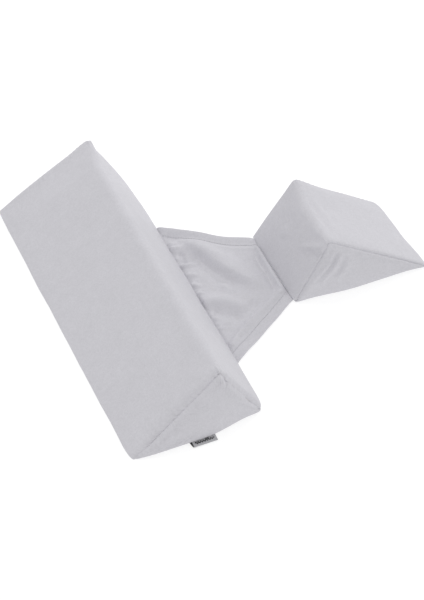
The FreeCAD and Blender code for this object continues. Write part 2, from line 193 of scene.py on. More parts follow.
def tube(points, radius, closed):
    """Points and faces of a round tube that follows a line of points."""
    points = np.asarray(points, float)
    count, sides = len(points), TUBE_SIDES
    if closed:
        tangents = unit(np.roll(points, -1, 0) - np.roll(points, 1, 0))
    else:
        tangents = unit(np.gradient(points, axis=0))
    side = np.cross(tangents[0], ASIDE)
    first = np.zeros_like(points)
    for k, tangent in enumerate(tangents):
        side = unit(side - tangent * (side @ tangent))
        first[k] = side
    second = np.cross(tangents, first)
    angles = np.linspace(0, 2 * math.pi, sides, endpoint=False)[None, :, None]
    around = np.cos(angles) * first[:, None] + np.sin(angles) * second[:, None]
    rings = points[:, None] + radius * around
    faces = []
    for i in range(count if closed else count - 1):
        a, b = i * sides, (i + 1) % count * sides
        for k in range(sides):
            after = (k + 1) % sides
            faces.append((a + k, a + after, b + after, b + k))
    if not closed:
        faces.append(tuple(range(sides)))
        faces.append(tuple(range((count - 1) * sides, count * sides)))
    return rings.reshape(-1, 3), faces


def tube_piece(name, lines, radius, closed=False):
    """One mesh of a tube along each line."""
    points, faces, weave, start = [], [], [], 0
    for line in lines:
        made, walls = tube(line, radius, closed)
        faces += [tuple(v + start for v in f) for f in walls]
        points.append(made)
        flat = np.zeros((len(line), TUBE_SIDES, 3))
        flat[..., 0] = run_length(line)[:, None]
        flat[..., 1] = np.linspace(0, 1, TUBE_SIDES, endpoint=False)
        weave.append(flat.reshape(-1, 3))
        start += len(made)
    return finish_mesh(name, np.concatenate(points), faces, np.concatenate(weave))


def run_length(line):
    """The length of a polyline up to each of its points."""
    return np.concatenate([[0], np.cumsum(np.linalg.norm(np.diff(line, axis=0), axis=1))])


def resample(line, step):
    """Points about step apart along a polyline."""
    line = np.asarray(line, float)
    lengths = run_length(line)
    where = np.linspace(0, lengths[-1], max(int(lengths[-1] / step), 2) + 1)
    return np.stack([np.interp(where, lengths, line[:, k]) for k in range(line.shape[1])], -1)


def smooth_line(line):
    """A Catmull-Rom curve through a few points."""
    line = np.asarray(line, float)
    ends = np.concatenate([[2 * line[0] - line[1]], line, [2 * line[-1] - line[-2]]])
    out = []
    for i in range(1, len(ends) - 2):
        p0, p1, p2, p3 = ends[i - 1:i + 3]
        for t in np.linspace(0, 1, CURVE_POINTS // (len(line) - 1) + 1, endpoint=False):
            cubic = (3 * p1 - p0 - 3 * p2 + p3) * t ** 3
            out.append(0.5 * (2 * p1 + (p2 - p0) * t + (2 * p0 - 5 * p1 + 4 * p2 - p3) * t ** 2 + cubic))
    out.append(line[-1])
    return np.array(out)


def near_line(points, line):
    """For each point: its distance to a polyline, its side in plan, and its share of the way along."""
    best = np.full(len(points), 1e9)
    side, share = np.zeros(len(points)), np.zeros(len(points))
    lengths = run_length(line)
    for k in range(len(line) - 1):
        a, d = line[k], line[k + 1] - line[k]
        t = np.clip(((points - a) @ d) / (d @ d), 0, 1)
        off = points - (a + t[:, None] * d)
        distance = np.linalg.norm(off, axis=1)
        closer = distance < best
        best = np.where(closer, distance, best)
        side = np.where(closer, np.sign(d[0] * off[:, 1] - d[1] * off[:, 0]), side)
        share = np.where(closer, mix(lengths[k], lengths[k + 1], t) / lengths[-1], share)
    return best, side, share


def fold(points, line, height, width, lean, fade):
    """The height that a soft fold adds at each point. A lean above 0 makes its left side the steeper one."""
    distance, side, share = near_line(points, smooth_line(line))
    ends = smoothstep(share / fade[0]) * smoothstep((1 - share) / fade[1])
    return height * ends * np.exp(-(distance / (width * (1 - lean * side))) ** 2)


def waves(points, wavelength, seed):
    """Smooth seeded unevenness, mostly between -1 and 1."""
    rng = np.random.default_rng(seed)
    total = np.zeros(len(points))
    for _ in range(WAVE_COUNT):
        direction = unit(rng.normal(size=points.shape[1]))
        stretch = rng.uniform(0.7, 1.5)
        phase = points @ direction * 2 * math.pi / (wavelength * stretch)
        total += np.sin(phase + rng.uniform(0, 2 * math.pi))
    return total / math.sqrt(WAVE_COUNT)


# ---------------------------------------------------------------- the wedges' section

def arc(start, heading, radius, turn, count):
    """A right-hand turn of a path that arrives at start with that heading."""
    centre = start + radius * np.array([math.sin(heading), -math.cos(heading)])
    a = heading - np.linspace(0, turn, count)
    return centre + radius * np.stack([-np.sin(a), np.cos(a)], -1)


def straight(a, b, count):
    """Points between a and b, both left out."""
    t = np.linspace(0, 1, count + 2)[1:-1, None]
    return mix(np.asarray(a, float), np.asarray(b, float), t)


def toward(angle):
    """The unit vector of a heading."""
    return np.array([math.cos(angle), math.sin(angle)])


class Wedge:
    """One covered wedge: its sizes from the CAD boxes, and the map from its section to the row frame.

    In the section, u runs from the toe at 0 outward to the tip below 0, and z is the height.
    t runs along the wedge from its middle."""

    def __init__(self, name, side, soft_near, pucker_height, near, far):
        self.name, self.side, self.soft_near, self.pucker = name, side, soft_near, pucker_height
        self.ends = (near, far)
        near_lo, near_hi = box_mm(name + "_near_end_panel")
        far_hi = box_mm(name + "_far_end_panel")[1]
        tapes = np.concatenate([box_mm(name + "_zip_tape_inner"), box_mm(name + "_zip_tape_outer")])
        self.x_toe = near_hi[0] if side > 0 else near_lo[0]
        self.width = near_hi[0] - near_lo[0]
        self.y_mid = (near_lo[1] + far_hi[1]) / 2
        self.half = (far_hi[1] - near_lo[1]) / 2
        self.zip_u = ((tapes[:, 0].min() + tapes[:, 0].max()) / 2 - self.x_toe) * side
        self.tape_z = tapes[:, 2].min()
        self.peak = near_hi[2] + RIDGE_LIFT
        ridge = np.array([-self.width * RIDGE_SHARE, self.peak])
        self.corners = np.array([[TOE_REACH, 0.0], ridge, [-self.width - TIP_REACH, 0.0]])
        a, b, c = self.corners
        lengths = [np.linalg.norm(b - c), np.linalg.norm(c - a), np.linalg.norm(a - b)]
        self.incentre = (a * lengths[0] + b * lengths[1] + c * lengths[2]) / sum(lengths)
        self.inradius = self.incentre[1]
        self.up = math.atan2(b[1] - c[1], b[0] - c[0])
        self.down = math.atan2(a[1] - b[1], a[0] - b[0])
        half_angle = -self.down / 2
        self.toe_reach = (TOE_ROLL + SEAM_GAP / 2 + TOE_ROLL * math.cos(half_angle)) / math.sin(half_angle)
        self.toe_turn = math.pi - half_angle

    def sharp(self, d):
        """The section's sharp corners, toe, ridge and tip, with all sides moved in by d."""
        return mix(self.corners, self.incentre, d / self.inradius)

    def place(self, u, t, z):
        """A point of the section, at t along the wedge, in the row frame, with the shape of the ends."""
        toe, ridge, tip = self.corners
        rise = np.clip(z / self.peak, 0, 1)
        from_toe = mix(toe[0], ridge[0], rise) - u
        from_tip = u - mix(tip[0], ridge[0], rise)
        gap = self.half - np.abs(t)
        into = smoothstep(1 - gap / END_REACH)
        low = smoothstep((1 - rise) / LOW_SHARE)
        depth = np.minimum(from_toe * math.sin(-self.down), from_tip * math.sin(self.up))
        rim = near_edge(depth, RIM_REACH) * near_edge(gap, RIM_REACH)
        share = (toe[0] - u) / (toe[0] - tip[0])
        to_middle = smoothstep((share - BELLY_FROM) / BELLY_OVER)
        to_tip = smoothstep((share - TIP_FROM) / TIP_OVER)
        to_outer = smoothstep(np.maximum(from_toe, 0) / np.maximum(from_toe + from_tip, 0.01))
        shift_u, shift_t, shift_z = np.zeros_like(rise), np.zeros_like(rise), np.zeros_like(rise)
        for end, shape in zip((-1, 1), self.ends):
            here = t * end > 0
            along = near_edge(gap, shape["corner"]) * low * here
            wide_end = smoothstep(1 - gap / CORNER_REACH) * low * here
            toe_pull, tip_pull = shape["toe_pull"], shape["tip_pull"]
            for distance, sign, pull in ((from_toe, -1, toe_pull), (from_tip, 1, tip_pull)):
                shift_u += sign * pull * along * smoothstep(1 - distance / CORNER_REACH)
                shift_t += pull * near_edge(distance, CORNER_ACROSS) * wide_end
            at_toe, at_middle, at_tip = shape["belly"]
            belly = mix(mix(at_toe, at_middle, to_middle), at_tip, to_tip)
            bulge = mix(*shape["bulge"], to_outer) * 4 * rise * (1 - rise)
            outward = (belly * (1 - rise) + bulge) * into
            shift_t += (shape["lean"] * rise - outward + shape["rim"] * rim) * here
            over_tip = smoothstep(1 - from_tip / (ridge[0] - tip[0]))
            shift_u += (shape["ridge_u"] * rise + shape["tip_u"] * over_tip * (1 - rise)) * into * here
            shift_u += shape["yaw"] * np.abs(t) / self.half * here
            shift_z += shape["ridge_z"] * rise * into * here
            inward = unit(np.stack([self.incentre[0] - u, self.incentre[1] - z], -1))
            shift_u += inward[..., 0] * shape["rim"] * rim * here
            shift_z += inward[..., 1] * shape["rim"] * rim * here
        along_row = self.y_mid + t - np.sign(t) * shift_t * smoothstep(1 - gap / max(END_REACH, self.half))
        return np.stack([self.x_toe + self.side * (u + shift_u), along_row, np.maximum(z + shift_z, 0)], -1)

    def shrink(self, d):
        """How much the corners' radii shrink when the sides are moved in by d."""
        return min(1.0, 1.5 * max(1 - d / self.inradius, 0.0))

    def lip_top(self, d):
        """The height at which the panels' lips lie on the zip's tapes."""
        return max(self.tape_z, d + 2.2 * LIP_BEND)

    def fillets(self, d, ridge_radius):
        """Where the rounded tip and ridge begin, with their radii and turns, for sides moved in by d."""
        toe, ridge, tip = self.sharp(d)
        tip_radius = max(TIP_RADIUS - d, 0.5) * self.shrink(d)
        radius = max(ridge_radius - d, 1.2) * self.shrink(d)
        tip_turn, turn = math.pi - self.up, self.up - self.down
        tip_start = tip + np.array([tip_radius * math.tan(tip_turn / 2), 0])
        start = ridge - toward(self.up) * radius * math.tan(turn / 2)
        return arc(tip_start, math.pi, tip_radius, tip_turn, 10), arc(start, self.up, radius, turn, 16)

    def wrap_path(self, d, ridge_radius=RIDGE_RADIUS):
        """The wrap panel's outer face: from the zip's lip over the base, tip and both slopes to the toe."""
        toe = self.sharp(d)[0]
        tip_arc, ridge_arc = self.fillets(d, ridge_radius)
        lip, top = self.zip_u - LIP, self.lip_top(d)
        over = arc(np.array([lip - LIP_BEND, top]), 0, LIP_BEND, math.pi / 2, 6)
        under = arc(np.array([lip, d + LIP_BEND]), -math.pi / 2, LIP_BEND, math.pi / 2, 6)
        start = toe - toward(self.down) * self.toe_reach
        roll = arc(start, self.down, TOE_ROLL, self.toe_turn, 12)
        inside = roll[-1] + toward(self.down - self.toe_turn) * TOE_ALLOWANCE
        return np.concatenate([
            straight((self.zip_u - FLANGE, top), over[0], 4), over,
            straight(over[-1], under[0], 2), under,
            straight(under[-1], tip_arc[0], 26), tip_arc,
            straight(tip_arc[-1], ridge_arc[0], 58), ridge_arc,
            straight(ridge_arc[-1], roll[0], 34), roll,
            straight(roll[-1], inside, 3),
        ])

    def base_path(self, d, ridge_radius=RIDGE_RADIUS):
        """The base panel's outer face: toe seam, base, and the lip beside the zip."""
        start = self.sharp(d)[0] - np.array([self.toe_reach, 0])
        lip, top = self.zip_u + LIP, self.lip_top(d)
        angles = math.pi + self.toe_turn - np.linspace(0, self.toe_turn, 12)
        around = np.stack([-np.sin(angles), np.cos(angles)], -1)
        roll = start + np.array([0, TOE_ROLL]) + TOE_ROLL * around
        inside = roll[0] - toward(math.pi + self.toe_turn) * TOE_ALLOWANCE
        under = arc(np.array([lip + LIP_BEND, d]), math.pi, LIP_BEND, math.pi / 2, 6)
        over = arc(np.array([lip, top - LIP_BEND]), math.pi / 2, LIP_BEND, math.pi / 2, 6)
        return np.concatenate([
            straight(inside, roll[0], 3), roll,
            straight(roll[-1], under[0], 30), under,
            straight(under[-1], over[0], 2), over,
            straight(over[-1], (self.zip_u + FLANGE, top), 4),
        ])

    def ring(self, d, ridge_radius=RIDGE_END_RADIUS):
        """The whole section as one closed ring: base, tip, outer slope, ridge, inner slope, toe."""
        tip_arc, ridge_arc = self.fillets(d, ridge_radius)
        radius = TOE_RADIUS * self.shrink(d)
        turn = math.pi + self.down
        start = self.sharp(d)[0] - toward(self.down) * radius * math.tan(turn / 2)
        toe_arc = arc(start, self.down, radius, turn, 11)
        return np.concatenate([
            straight(toe_arc[-1], tip_arc[0], 62), tip_arc,
            straight(tip_arc[-1], ridge_arc[0], 58), ridge_arc,
            straight(ridge_arc[-1], toe_arc[0], 36), toe_arc,
        ])

    def seam_style(self, path, end):
        """For each point of a path, the radius and turn of its roll at an end, and how soft that edge is.

        The large wedge's near edge is soft over the inner slope, where no seam shows."""
        toe, ridge, tip = self.corners
        u, z = path[:, 0], path[:, 1]
        soft = np.zeros(len(path))
        if end < 0 and self.soft_near:
            below = (self.peak - z) / self.peak
            soft = smoothstep((u - ridge[0] - 2) / 9) * smoothstep((below - 0.1) / 0.2)
            soft = soft * smoothstep((z - 0.5) / 26)
        tip_share = smoothstep((tip[0] + 12 - u) / 9)
        hard = mix(ROLL, self.ends[end > 0]["roll"], smoothstep((z - 2) / 8))
        radius = mix(mix(hard, SOFT_ROLL, soft), TIP_ROLL, tip_share)
        return radius, mix(SEAM_TURN, SOFT_TURN, soft), soft


def inset_table(path, deepest):
    """The points of a path for insets 0, D_STEP, 2 D_STEP and so on."""
    return np.stack([path(k * D_STEP) for k in range(int(deepest / D_STEP) + 2)])


def inset_lookup(table, d):
    """For point i of the path and inset d[i, j], its place in the section."""
    at = d / D_STEP
    low = np.minimum(at.astype(int), len(table) - 2)
    rows = np.arange(table.shape[1])[:, None]
    return mix(table[low, rows], table[low + 1, rows], (at - low)[..., None])


ROLL_SHARES = np.linspace(1, 0, 10)[:-1]
ALLOWANCE_SHARES = np.linspace(1, 0, 4)[:-1]


def end_stations(wedge, path, end):
    """The inset and place along the wedge of a panel's rows at one end, from the allowance to the face."""
    radius, turn, _ = wedge.seam_style(path, end)
    meet = radius * (1 - np.cos(turn))
    inside = meet[:, None] + ALLOWANCE * ALLOWANCE_SHARES
    angle = turn[:, None] * ROLL_SHARES
    face_at = wedge.half - meet - radius * np.sin(turn)
    inset = np.concatenate([inside, radius[:, None] * (1 - np.cos(angle))], 1)
    along = np.concatenate([wedge.half - inside, face_at[:, None] + radius[:, None] * np.sin(angle)], 1)
    return inset, along, face_at


def pucker(distance, along, seed, height):
    """Little gathers beside a seam: none on the seam itself, most a few millimetres away."""
    rng = np.random.default_rng(seed)
    knots = np.linspace(along.min(), along.max(), 24)
    phase = np.interp(along, knots, np.cumsum(rng.normal(0, 1.1, 24)))
    size = np.interp(along, knots, rng.uniform(0.3, 1.3, 24))
    strength = distance / GATHER_REACH * np.exp(1 - distance / GATHER_REACH)
    return height * size * strength * np.sin(2 * math.pi * along / GATHER_SPACING + phase)


def raise_cloth(grid, normals, extra):
    """The grid moved out by extra, and kept above the floor."""
    grid = grid + normals * extra[..., None]
    grid[..., 2] = np.maximum(grid[..., 2], 0)
    return grid


def build_panel(wedge, name, path, crown, details, seed):
    """A wrap or base panel: a path in the section, run along the wedge and rolled in at both ends."""
    profile = path(0.0)
    near_in, near_t, near_face = end_stations(wedge, profile, -1)
    far_in, far_t, far_face = end_stations(wedge, profile, 1)
    count = int(2 * wedge.half / COVER_STEP)
    share = np.linspace(0, 1, count + 1)[None]
    face_t = mix(-near_face[:, None], far_face[:, None], share)
    inset = np.concatenate([near_in, np.zeros_like(face_t), far_in[:, ::-1]], 1)
    t = np.concatenate([-near_t, face_t, far_t[:, ::-1]], 1)
    middle = inset_table(path, DEEPEST)
    ends = inset_table(lambda d: path(d, RIDGE_END_RADIUS), DEEPEST)
    gap = np.maximum(wedge.half - np.abs(t), 0)
    to_middle = smoothstep(gap / RIDGE_BLEND)[..., None]
    section = mix(inset_lookup(ends, inset), inset_lookup(middle, inset), to_middle)
    u, z = section[..., 0], section[..., 1]
    grid = wedge.place(u, t, z)
    normals = grid_normals(grid, False) * wedge.side
    lengths = np.broadcast_to(run_length(profile)[:, None], u.shape)
    points = grid.reshape(-1, 3)
    calm = smoothstep((gap - 2) / 12)
    from_toe = np.abs(u - wedge.corners[0][0])
    gathered = wedge.pucker * smoothstep(from_toe / GATHER_FADE)
    extra = crown(u, t, z) + pucker(np.maximum(gap - 1.5, 0), lengths, seed, gathered)
    extra += (0.25 * waves(points, 60, seed + 1) + 0.06 * waves(points, 17, seed + 2)).reshape(u.shape) * calm
    extra += details(points).reshape(u.shape) * smoothstep((gap - 1.5) / 2.5)
    extra = np.where(z < 0.02, 0, extra)
    grid = raise_cloth(grid, normals, extra)
    weave = np.stack([lengths, t, np.zeros_like(u)], -1)
    return shell(name, grid[::wedge.side], weave[::wedge.side])


def build_end(wedge, end, name, details, seed):
    """One end panel: rings from the seam allowance over the roll to the middle of the face."""
    profile = wedge.ring(0.0)
    radius, turn, _ = wedge.seam_style(profile, end)
    radius, turn = radius[:, None], turn[:, None]
    meet = radius * (1 - np.cos(turn))
    inside = meet + ALLOWANCE * ALLOWANCE_SHARES
    angle = turn * ROLL_SHARES
    face_at = meet + radius * np.sin(turn)
    face = mix(face_at, wedge.inradius, np.linspace(0, 1, 30)[None] ** 1.15)
    d = np.concatenate([inside, face_at - radius * np.sin(angle), face], 1)
    rolled = wedge.half - radius * (1 - np.cos(angle))
    t = np.concatenate([wedge.half - inside, rolled, face * 0 + wedge.half], 1)
    section = inset_lookup(inset_table(wedge.ring, wedge.inradius - D_STEP), d)
    u, z = section[..., 0], section[..., 1]
    sides = wedge.sharp(2.0)
    matrix = np.array([sides[:, 0], sides[:, 1], [1, 1, 1]])
    shares = np.linalg.inv(matrix) @ np.stack([u.ravel(), z.ravel(), np.ones(u.size)])
    bubble = 27 * np.prod(np.maximum(shares, 0), axis=0).reshape(u.shape)
    grid = wedge.place(u, t * end, z)
    grid[:, -1] = grid[:, -1].mean(0)
    normals = grid_normals(grid, True) * (end * wedge.side)
    normals[:, -1] = unit(normals[:, -2].mean(0))
    lengths = np.broadcast_to(run_length(profile)[:, None], u.shape)
    gap = np.maximum(d - meet, 0)
    points = grid.reshape(-1, 3)
    gathered = 0.6 * wedge.pucker * smoothstep(np.abs(u - wedge.corners[0][0]) / GATHER_FADE)
    extra = 2.0 * bubble ** 0.7 + pucker(gap, lengths, seed, gathered)
    extra += 0.2 * waves(points, 38, seed + 1).reshape(u.shape) * smoothstep(gap / 10)
    extra += details(points).reshape(u.shape) * smoothstep(gap / 2.5)
    grid = raise_cloth(grid, normals, extra)
    grid[:, -1] = grid[:, -1].mean(0)
    weave = np.stack([u, z, np.zeros_like(u)], -1)
    step = end * wedge.side
    return shell(name, grid[::step], weave[::step], closed=True)


def build_foam(wedge, name):
    """The foam core: the section moved in, its edges rounded, with a channel over the zip."""
    curve = np.linspace(0, math.pi / 2, 9)
    t_end = wedge.half - FOAM_CLEARANCE - FOAM_ROUND * (1 - np.sin(curve))
    d_end = FOAM_CLEARANCE + FOAM_ROUND * (1 - np.cos(curve))
    face = np.linspace(-t_end[0], t_end[0], max(int(t_end[0] / FOAM_STEP), 8))[1:-1]
    t = np.concatenate([-t_end[::-1], face, t_end])
    d = np.concatenate([d_end[::-1], np.full(len(face), FOAM_CLEARANCE), d_end])
    rings = []
    for inset in d:
        ring = wedge.ring(inset, RIDGE_RADIUS)
        channel = (np.abs(ring[:, 0] - wedge.zip_u) < CHANNEL_HALF) & (ring[:, 1] < inset + 0.1)
        ring[channel, 1] = np.maximum(ring[channel, 1], CHANNEL_TOP)
        rings.append(ring)
    section = np.stack(rings, 1)
    grid = wedge.place(section[..., 0], np.broadcast_to(t, section.shape[:2]), section[..., 1])
    rows, columns = grid.shape[:2]
    faces = [tuple(q) for q in quads(rows, columns, True)]
    points = list(grid.reshape(-1, 3))
    for j in (0, columns - 1):
        points.append(grid[:, j].mean(0))
        for i in range(rows):
            faces.append((i * columns + j, (i + 1) % rows * columns + j, len(points) - 1))
    return finish_mesh(name, points, faces, points)


def zigzag_swing(count):
    """How far each point of a zigzag thread lies to the side."""
    return ZIGZAG_SWING * np.sin(np.arange(count) * math.pi / 2)


def seam_zigzag(wedge, end):
    """The thread of an end seam: a zigzag that bridges the groove between the two panels."""
    ring = wedge.ring(0.0)
    radius, turn, soft = wedge.seam_style(ring, end)
    meet = radius * (1 - np.cos(turn)) + mix(1.2, 1.8, soft)
    table = inset_table(wedge.ring, DEEPEST)
    line = inset_lookup(table, meet[:, None])[:, 0]
    line = np.concatenate([line, wedge.half - meet[:, None]], 1)
    line = resample(np.concatenate([line, line[:1]]), ZIGZAG_STEP)[:-1]
    swing = zigzag_swing(len(line))
    outward = unit(line[:, :2] - wedge.incentre)
    section = line[:, :2] + outward * swing[:, None]
    return wedge.place(section[:, 0], (line[:, 2] - swing) * end, section[:, 1])


# ---------------------------------------------------------------- the link panel

LINK_HALF_CLOTH = 0.42  # half the thickness of the link's jersey
LINK_INSIDE = 3.2  # the link's cloth reaches this far into each seam
LINK_LEVEL = 2.8  # height of the cloth's middle surface between the folds
LINK_RUN = 6.0  # it comes down from a seam over this distance
HEM_LEVEL = 1.9  # height of the middle surface in the hems
HEM = 13.0  # width of the folded hems
HEM_STITCH = 11.9  # distance of their stitching from the edge
GATHER_KNOTS = 34  # the link's gathers change their size and spacing between these
SPLIT_X = 28.0  # the link is in two meshes, which meet here
STITCH = 2.6  # length of one stitch
THREAD_PROUD, THREAD_SUNK = 0.35, 0.32  # a stitch rises this far, from this depth in the cloth

# Folds of the link's cloth: line in plan, height, width, lean, and the shares over which its ends fade.
LINK_FOLDS = [
    ([(-24, 66), (-15.5, 46), (-8, 27), (0, 9), (9, -7), (16, -19), (27, -35)], 4.8, 8.4, -0.25, (0.15, 0.2)),
    ([(-23, 46), (-18, 24), (-11, 3), (-1, -12), (8, -24)], -3.2, 7.0, 0.0, (0.2, 0.3)),
    ([(-16.5, 60), (-5, 37), (7, 18), (17, -4), (24, -24)], 1.6, 6.5, 0.0, (0.3, 0.3)),
    ([(-40, -25), (-28, -26), (-16, -33), (-8, -44), (0, -56)], 3.8, 7.5, -0.1, (0.05, 0.35)),
    ([(-36, -40), (-24, -47), (-13, -58)], -2.0, 6.0, 0.0, (0.1, 0.3)),
    ([(2, -38), (8, -50)], -1.4, 5.0, 0.0, (0.3, 0.3)),
    ([(-14, -3), (-11, -10), (-9, -19), (-7.5, -25)], 1.8, 5.0, -0.2, (0.3, 0.3)),
    ([(-24, 34), (-20, 27)], 1.2, 5.0, 0.0, (0.4, 0.4)),
    ([(37.6, 38), (36.8, 0), (36.2, -46)], 3.2, 3.0, -0.2, (0.05, 0.05)),
    ([(31.4, 28), (30.8, -11), (30.2, -38)], -2.0, 2.6, 0.0, (0.3, 0.1)),
    ([(36, -38), (1, -58), (-22, -73), (-38, -87)], 2.3, 3.4, -0.3, (0.05, 0.05)),
    ([(22, -37), (-4, -50), (-26, -64)], -1.0, 4.0, 0.0, (0.3, 0.3)),
    ([(-38, 75), (-24, 66)], -2.4, 4.5, 0.0, (0.1, 0.4)),
    ([(-31, 50), (-34, 39), (-32, 29)], -2.0, 3.2, 0.0, (0.2, 0.3)),
    ([(-40, 57), (-32, 55), (-22, 52)], 1.8, 3.0, 0.2, (0.05, 0.7)),
    ([(-40, 30), (-28, 30), (-18, 31)], 2.2, 3.0, 0.2, (0.05, 0.7)),
    ([(-40, 17), (-33, 15), (-25, 11)], 1.7, 2.9, 0.0, (0.05, 0.8)),
    ([(-40, 4), (-35, 1), (-30, -5)], 1.6, 2.6, 0.0, (0.05, 0.8)),
    ([(-40, -9), (-35, -12), (-30, -14)], 1.4, 2.4, 0.0, (0.05, 0.7)),
    ([(-40, 42), (-33, 41)], 1.2, 2.3, 0.0, (0.05, 0.7)),
    ([(-40, -40), (-35, -46), (-31, -54)], 1.6, 3.0, 0.0, (0.05, 0.7)),
]


def seam_point(wedge):
    """Where the link's cloth enters a toe seam, as x and z in the row frame, and that seam's slope."""
    roll_end = wedge.wrap_path(0.0)[-4]
    roll_start = wedge.base_path(0.0)[3]
    middle = (roll_end + roll_start) / 2
    return wedge.x_toe + wedge.side * middle[0], middle[1], math.tan(-wedge.down / 2)


def link_level(x, level):
    """The height of the flat link's middle surface: down from each seam to its own level."""
    out, run = level, LINK_RUN
    for (seam_x, seam_z, slope), side in ((LARGE_SEAM, 1), (SMALL_SEAM, -1)):
        leaving = (x - seam_x) * side
        t = np.clip(leaving / run, 0, 1)
        hold, aim = 2 * t ** 3 - 3 * t ** 2 + 1, t ** 3 - 2 * t ** 2 + t
        curve = hold * seam_z - aim * run * slope + (1 - hold) * level
        out = np.where(leaving < 0, seam_z - leaving * slope, np.where(leaving < run, curve, out))
    return out


def link_edges(x):
    """The near and far edges of the link."""
    lo, hi = box_mm("link_panel")
    small_lo, small_hi = box_mm("link_small_seam_thread")
    share = np.clip((x - lo[0]) / (hi[0] - lo[0]), -0.08, 1.08)
    near = mix(lo[1], small_lo[1], share) + 0.3 + 0.9 * smoothstep((x - 8) / 28)
    far = mix(hi[1], small_hi[1], share)
    far = far - 0.9 - 3.6 * np.exp(-((x - 11) / 17) ** 2) - 0.9 * np.exp(-((x + 18) / 14) ** 2)
    return near, far


def hem_share(x, y):
    """1 in the hems and 0 between them."""
    near, far = link_edges(x)
    return smoothstep((HEM - (y - near)) / 3 + 0.5) + smoothstep((HEM - (far - y)) / 3 + 0.5)


def link_height(x, y):
    """The height of the link's middle surface."""
    points = np.stack([x.ravel(), y.ravel()], -1)
    rise = np.zeros(len(points))
    for line, height, width, lean, fade in LINK_FOLDS:
        rise += fold(points, line, height, width, lean, fade)
    near, far = link_edges(x)
    from_far, from_near = far - y, y - near
    inner = smoothstep(np.minimum(from_far, from_near) / HEM - 0.55)
    rise = rise.reshape(x.shape) * mix(0.35, 1.0, inner)
    curl = mix(0.5, 1.0, np.exp(-((x + 18) / 24) ** 2))
    rise += 3.3 * curl * smoothstep(1 - from_far / (HEM + 1.5))
    rise += 0.8 * np.exp(-((from_far - HEM - 3.5) / 2.6) ** 2) * curl
    rng = np.random.default_rng(21)
    knots = np.linspace(-112, 100, GATHER_KNOTS)
    phase = np.interp(y, knots, np.cumsum(rng.normal(0, 1.2, GATHER_KNOTS)))
    size = np.interp(y, knots, rng.uniform(0.1, 1.0, GATHER_KNOTS))
    gather = np.exp(-np.maximum(x + 41, 0) / 8.0) * np.clip((x + 41) / 2.5, 0, 1) * smoothstep((84 - y) / 14)
    rise += 0.55 * size * gather * np.sin(2 * math.pi * (y + 0.3 * x) / 7.5 + phase)
    gather = np.exp(-np.maximum(40 - x, 0) / 4.0) * np.clip((41.5 - x) / 2.5, 0, 1)
    rise += 0.3 * size * gather * np.sin(2 * math.pi * y / 5.2 + phase)
    rise += (0.3 * waves(points, 34, 8) + 0.1 * waves(points, 12, 9)).reshape(x.shape)
    ribs = smoothstep((HEM - from_near) / 1.5) * np.clip(from_near / 1.5, 0, 1)
    rise += 0.1 * ribs * np.sin(2 * math.pi * (x - 0.7 * y) / 2.3)
    rise *= smoothstep((41.2 - np.abs(x)) / 3.0)
    level = link_level(x, mix(HEM_LEVEL, LINK_LEVEL, inner))
    return np.maximum(level + rise, 0.5)


def link_half(x, y):
    """Half the link's thickness: one layer, two in the hems, rounded off at the hems' folds."""
    near, far = link_edges(x)
    inside = smoothstep((41.7 - np.abs(x)) / 3.0)
    gap = np.clip(np.minimum(y - near, far - y), 0, 1)
    return LINK_HALF_CLOTH * (1 + hem_share(x, y) * inside) * np.sqrt(gap * (2 - gap))


def build_link():
    """The link's cloth as two closed meshes that meet at SPLIT_X."""
    x_line = np.linspace(LARGE_SEAM[0] - LINK_INSIDE, SMALL_SEAM[0] + LINK_INSIDE, 119)
    x_line = np.sort(np.append(x_line[np.abs(x_line - SPLIT_X) > 0.4], SPLIT_X))
    rim = 1 - np.cos(np.linspace(0, math.pi / 2, 6))
    share = np.linspace(0, 1, 200)[1:-1]
    near, far = link_edges(x_line)
    y = np.stack([
        np.concatenate([a + rim, mix(a + 1, b - 1, share), b - rim[::-1]]) for a, b in zip(near, far)
    ])
    x = np.broadcast_to(x_line[:, None], y.shape)
    middle = np.stack([x, y, link_height(x, y)], -1)
    normals = grid_normals(middle, False)
    half = link_half(x, y)[..., None]
    top, below = middle + normals * half, middle - normals * half
    below[..., 2] = np.maximum(below[..., 2], 0)
    split = int(np.argmin(np.abs(x_line - SPLIT_X)))
    made = []
    count = y.shape[1]
    for name, part in (("link_cloth", slice(0, split + 1)), ("link_cloth_small_side", slice(split, None))):
        loops = np.concatenate([top[part], below[part][:, ::-1]], 1).transpose(1, 0, 2)
        rows = loops.shape[1]
        caps = [
            [k * rows + row for k in (j, j + 1, 2 * count - 2 - j, 2 * count - 1 - j)]
            for row in (0, rows - 1) for j in range(count - 1)
        ]
        points = loops.reshape(-1, 3)
        faces = np.concatenate([quads(2 * count, rows, True), np.array(caps)])
        made.append(finish_mesh(name, points, faces, points * [1, 1, 0]))
    return made


def running_stitches(line):
    """A sewing thread along a line on a surface: it shows for one stitch, then dips into the cloth."""
    line = resample(line, STITCH / 8)
    lengths = run_length(line)
    up = np.clip(1.5 * np.abs(np.sin(math.pi * lengths / STITCH)), 0, 1)
    line[:, 2] += THREAD_PROUD * up - THREAD_SUNK
    return line


def hem_lines(end):
    """The stitch line of one hem, in two parts that meet where the link's meshes do."""
    lines = []
    for a, b in ((-39.5, SPLIT_X), (SPLIT_X, 39.5)):
        x = np.linspace(a, b, 200)
        near, far = link_edges(x)
        y = near + HEM_STITCH if end < 0 else far - HEM_STITCH
        z = link_height(x, y) + link_half(x, y)
        lines.append(running_stitches(np.stack([x, y, z], -1)))
    return lines


# ---------------------------------------------------------------- zip, threads and label

COIL_PITCH = 1.4  # length of one turn of a zip's coil
COIL_WIRE = 0.27  # radius of its filament
COIL_POINTS = 14  # on one turn
COIL_OVERLAP = 0.35  # each coil reaches this far past the middle


